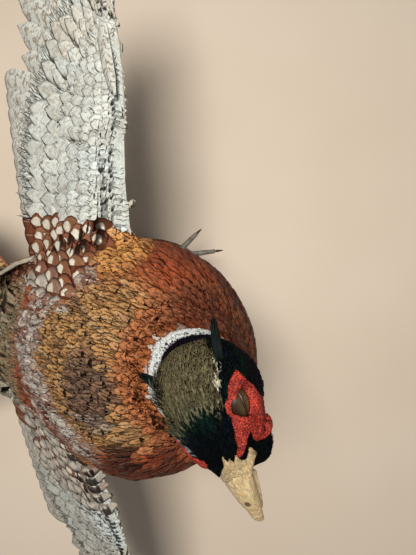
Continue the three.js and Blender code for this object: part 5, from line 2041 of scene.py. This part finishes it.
def claw_material():
    """Dark horn, streaked, with paler patches."""
    n = Nodes("claw horn")
    streak = n.noise(260, 4, rough=0.6)
    colour = n.mottled(streak, rgb(66, 58, 50), rgb(32, 27, 24))
    colour = n.mix(n.ramp(n.noise(120, 2), 0.55, 0.75, 0, 0.6), colour, rgb(104, 92, 74))
    n.finish(Base_Color=colour, Roughness=n.ramp(streak, 0.3, 0.7, 0.28, 0.45), Normal=n.bump(streak, 0.4, 0.0002))
    return n.finish(Specular_IOR_Level=0.45)


class PHEASANT_OT_legs(bpy.types.Operator):
    """Make the shanks, scales, toe pads, spurs and claws"""

    bl_idname = "pheasant.legs"
    bl_label = "Legs and feet"

    def execute(self, context):
        skin, scales, horn = leg_skin_material(), scute_material(), claw_material()
        for side in SIDES:
            limb = joined([solid_copy(part + side, part + side + "_flesh") for part in ("leg_", "foot_")])
            limb.name = limb.data.name = "shank_and_toes_" + side
            rounded(limb, 0.0007, 8, 0.12)
            limb.data.materials.append(skin)
            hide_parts("leg_" + side, "foot_" + side)
            tones = (rgb(120, 116, 106),) * 3 + ((0, 0, 0),)
            plates = long_feathers("leg_scutes_" + side, leg_scutes(side), scales, lambda i: tones)
            for piece in (limb, plates):
                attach(piece, "root")
            for node in ["spur_" + side] + ["claw_%s_%s" % (side, toe) for toe in TOES]:
                claw = solid_copy(node, node + "_horn")
                rounded(claw, 0.0004, 5, 0.1)
                claw.data.materials.append(horn)
                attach(claw, "root")
                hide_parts(node)
        return {"FINISHED"}


def rounded(obj, voxel, times, grow):
    """Turns a faceted solid into a smooth one of the same size."""
    apply_modifier(obj, "REMESH", mode="VOXEL", voxel_size=voxel)
    mesh = obj.data
    set_points(mesh, spread(points_of(mesh), edges_of(mesh), times))
    set_points(mesh, points_of(mesh) + normals_of(mesh) * grow)
    smooth_faces(obj)


def lid_material():
    """Dark, moist, finely wrinkled rim of the eye."""
    n = Nodes("dark lid rim")
    grain = n.noise(900, 4)
    n.finish(Base_Color=n.mottled(grain, rgb(58, 22, 18), rgb(28, 12, 10)))
    return n.finish(Roughness=n.ramp(grain, 0.3, 0.7, 0.27, 0.47), Normal=n.bump(n.noise(2700, 3), 0.4, 0.0003))


def wood_material():
    """Stained wood with its grain along one axis."""
    n = Nodes("stained wood")
    warp = n.noise(9, 3)
    rings = n.noise(1.0, 5, rough=0.6, stretch=(7, 150, 60))
    pores = n.noise(1.0, 3, rough=0.7, stretch=(40, 900, 900))
    colour = n.mix(n.ramp(rings, 0.36, 0.64), rgb(128, 86, 54), rgb(84, 52, 32))
    colour = n.mix(n.ramp(warp, 0.45, 0.7, 0, 0.4), colour, rgb(104, 66, 40))
    colour = n.mix(n.ramp(pores, 0.6, 0.72, 0, 0.6), colour, rgb(48, 28, 18))
    n.finish(Base_Color=colour, Roughness=n.ramp(rings, 0.3, 0.7, 0.34, 0.48))
    return n.finish(Normal=n.bump(n.minus(rings, pores), 0.25, 0.0003))


def brass_material():
    """Brushed brass, a little tarnished."""
    n = Nodes("brushed brass")
    lines = n.noise(1.0, 4, rough=0.6, stretch=(900, 900, 30))
    tarnish = n.noise(28, 4)
    colour = n.mix(n.ramp(lines, 0.3, 0.7), rgb(196, 164, 98), rgb(166, 134, 76))
    colour = n.mix(n.ramp(tarnish, 0.5, 0.75, 0, 0.55), colour, rgb(120, 92, 52))
    rough = n.plus(n.ramp(lines, 0.3, 0.7, 0.24, 0.34), n.ramp(tarnish, 0.5, 0.75, 0, 0.15))
    return n.finish(Base_Color=colour, Roughness=rough, Metallic=1.0, Normal=n.bump(lines, 0.12, 0.0001))


class PHEASANT_OT_finishes(bpy.types.Operator):
    """Give the solids that show as they are their finishes"""

    bl_idname = "pheasant.finishes"
    bl_label = "Finishes"

    def execute(self, context):
        finishes = {"stand_base": wood_material(), "stand": brass_material()}
        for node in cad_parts:
            obj = bpy.data.objects[node]
            for key, material in finishes.items():
                if node.startswith(key):
                    obj.data.materials.clear()
                    obj.data.materials.append(material)
                    break
        return {"FINISHED"}


PICTURE_WIDTH, PICTURE_HEIGHT = 416, 555
SENSOR = 36
CAMERA_AT = (0.055, -0.085, 0.62)  # metres, straight above, looking down with +X at the top
WINDOW_AT, WINDOW_TARGET = (0.26, 0.04, 1.35), (0, -0.05, 0.1)
FILL_AT, FILL_TARGET = (-0.9, -1.3, 0.9), (0, 0, 0.3)


class StageSizes(bpy.types.PropertyGroup):
    window_size: number_property("Window size", "Side of the main light", 0.34, unit="LENGTH")
    window_power: number_property("Window power", "Power of the main light in watts", 17.5, min=0)
    fill_power: number_property("Fill power", "Power of the fill light in watts", 1.5, min=0)
    room_light: number_property("Room light", "Strength of the light from all round", 0.17, min=0)


class PHEASANT_OT_stage(bpy.types.Operator):
    """Set the pale floor, the soft lights and the camera above"""

    bl_idname = "pheasant.stage"
    bl_label = "Stage"

    def execute(self, context):
        clear_selection()
        bpy.ops.mesh.primitive_plane_add(size=8, location=(0, 0, 0))
        floor = context.object
        floor.name = "floor"
        n = Nodes("pale floor")
        tone = n.ramp(n.noise(3, 2), 0.2, 0.8)
        n.finish(Base_Color=n.mix(tone, rgb(212, 194, 172), rgb(220, 204, 184)), Roughness=0.8)
        floor.data.materials.append(n.material)
        floor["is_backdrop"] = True

        def area(name, place, target, size, power, colour):
            bpy.ops.object.light_add(type="AREA", location=place)
            light = context.object
            light.name = name
            light.data.size = size
            light.data.energy = power
            light.data.color = colour
            light.rotation_euler = (Vector(target) - Vector(place)).to_track_quat("-Z", "Y").to_euler()

        light = context.scene.pheasant_stage
        area("window", WINDOW_AT, WINDOW_TARGET, light.window_size, light.window_power, (1.0, 0.97, 0.93))
        area("fill", FILL_AT, FILL_TARGET, 1.2, light.fill_power, (0.95, 0.97, 1.0))
        world = bpy.data.worlds.new("room")
        world.use_nodes = True
        world.node_tree.nodes["Background"].inputs["Color"].default_value = (0.9, 0.91, 0.94, 1)
        world.node_tree.nodes["Background"].inputs["Strength"].default_value = light.room_light
        context.scene.world = world
        context.scene.view_settings.view_transform = "Standard"
        camera = bpy.data.cameras.new("camera")
        camera.lens = PICTURE_WIDTH / PICTURE_HEIGHT * SENSOR
        camera.sensor_width = SENSOR
        camera.clip_start = 0.01
        obj = bpy.data.objects.new("camera", camera)
        context.collection.objects.link(obj)
        obj.location = CAMERA_AT
        obj.rotation_euler = (0, 0, -math.pi / 2)
        context.scene.camera = obj
        return {"FINISHED"}


class PHEASANT_PT_panel(bpy.types.Panel):
    """Lists the pieces of the mount"""

    bl_label = "Pheasant mount"
    bl_idname = "PHEASANT_PT_panel"
    bl_space_type = "VIEW_3D"
    bl_region_type = "UI"
    bl_category = "Pheasant"

    def draw(self, context):
        for group, kind in GROUPS.items():
            for name in kind.__annotations__:
                self.layout.prop(getattr(context.scene, group), name)
        for kind in OPERATORS:
            self.layout.operator(kind.bl_idname)


GROUPS = {
    "pheasant_coat": CoatSizes,
    "pheasant_face": FaceSizes,
    "pheasant_plumage": PlumageColours,
    "pheasant_stage": StageSizes,
}
OPERATORS = (
    PHEASANT_OT_hide,
    PHEASANT_OT_coat,
    PHEASANT_OT_wings,
    PHEASANT_OT_tail,
    PHEASANT_OT_face,
    PHEASANT_OT_legs,
    PHEASANT_OT_finishes,
    PHEASANT_OT_stage,
)


def register():
    for kind in (*GROUPS.values(), *OPERATORS, PHEASANT_PT_panel):
        bpy.utils.register_class(kind)
    for name, kind in GROUPS.items():
        setattr(bpy.types.Scene, name, bpy.props.PointerProperty(type=kind))


def unregister():
    for name in GROUPS:
        delattr(bpy.types.Scene, name)
    for kind in (PHEASANT_PT_panel, *OPERATORS[::-1], *GROUPS.values()):
        bpy.utils.unregister_class(kind)


def main():
    register()
    clear_selection()
    bpy.ops.pheasant.hide()
    bpy.ops.pheasant.coat()
    bpy.ops.pheasant.wings()
    bpy.ops.pheasant.tail()
    bpy.ops.pheasant.face()
    bpy.ops.pheasant.legs()
    bpy.ops.pheasant.finishes()
    bpy.ops.pheasant.stage()
    boxes = {"cad": CAD_BOX, "visual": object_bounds()}
    {key: [[float(v) for v in corner] for corner in box] for key, box in boxes.items()}


if __name__ == "__main__":
    main()
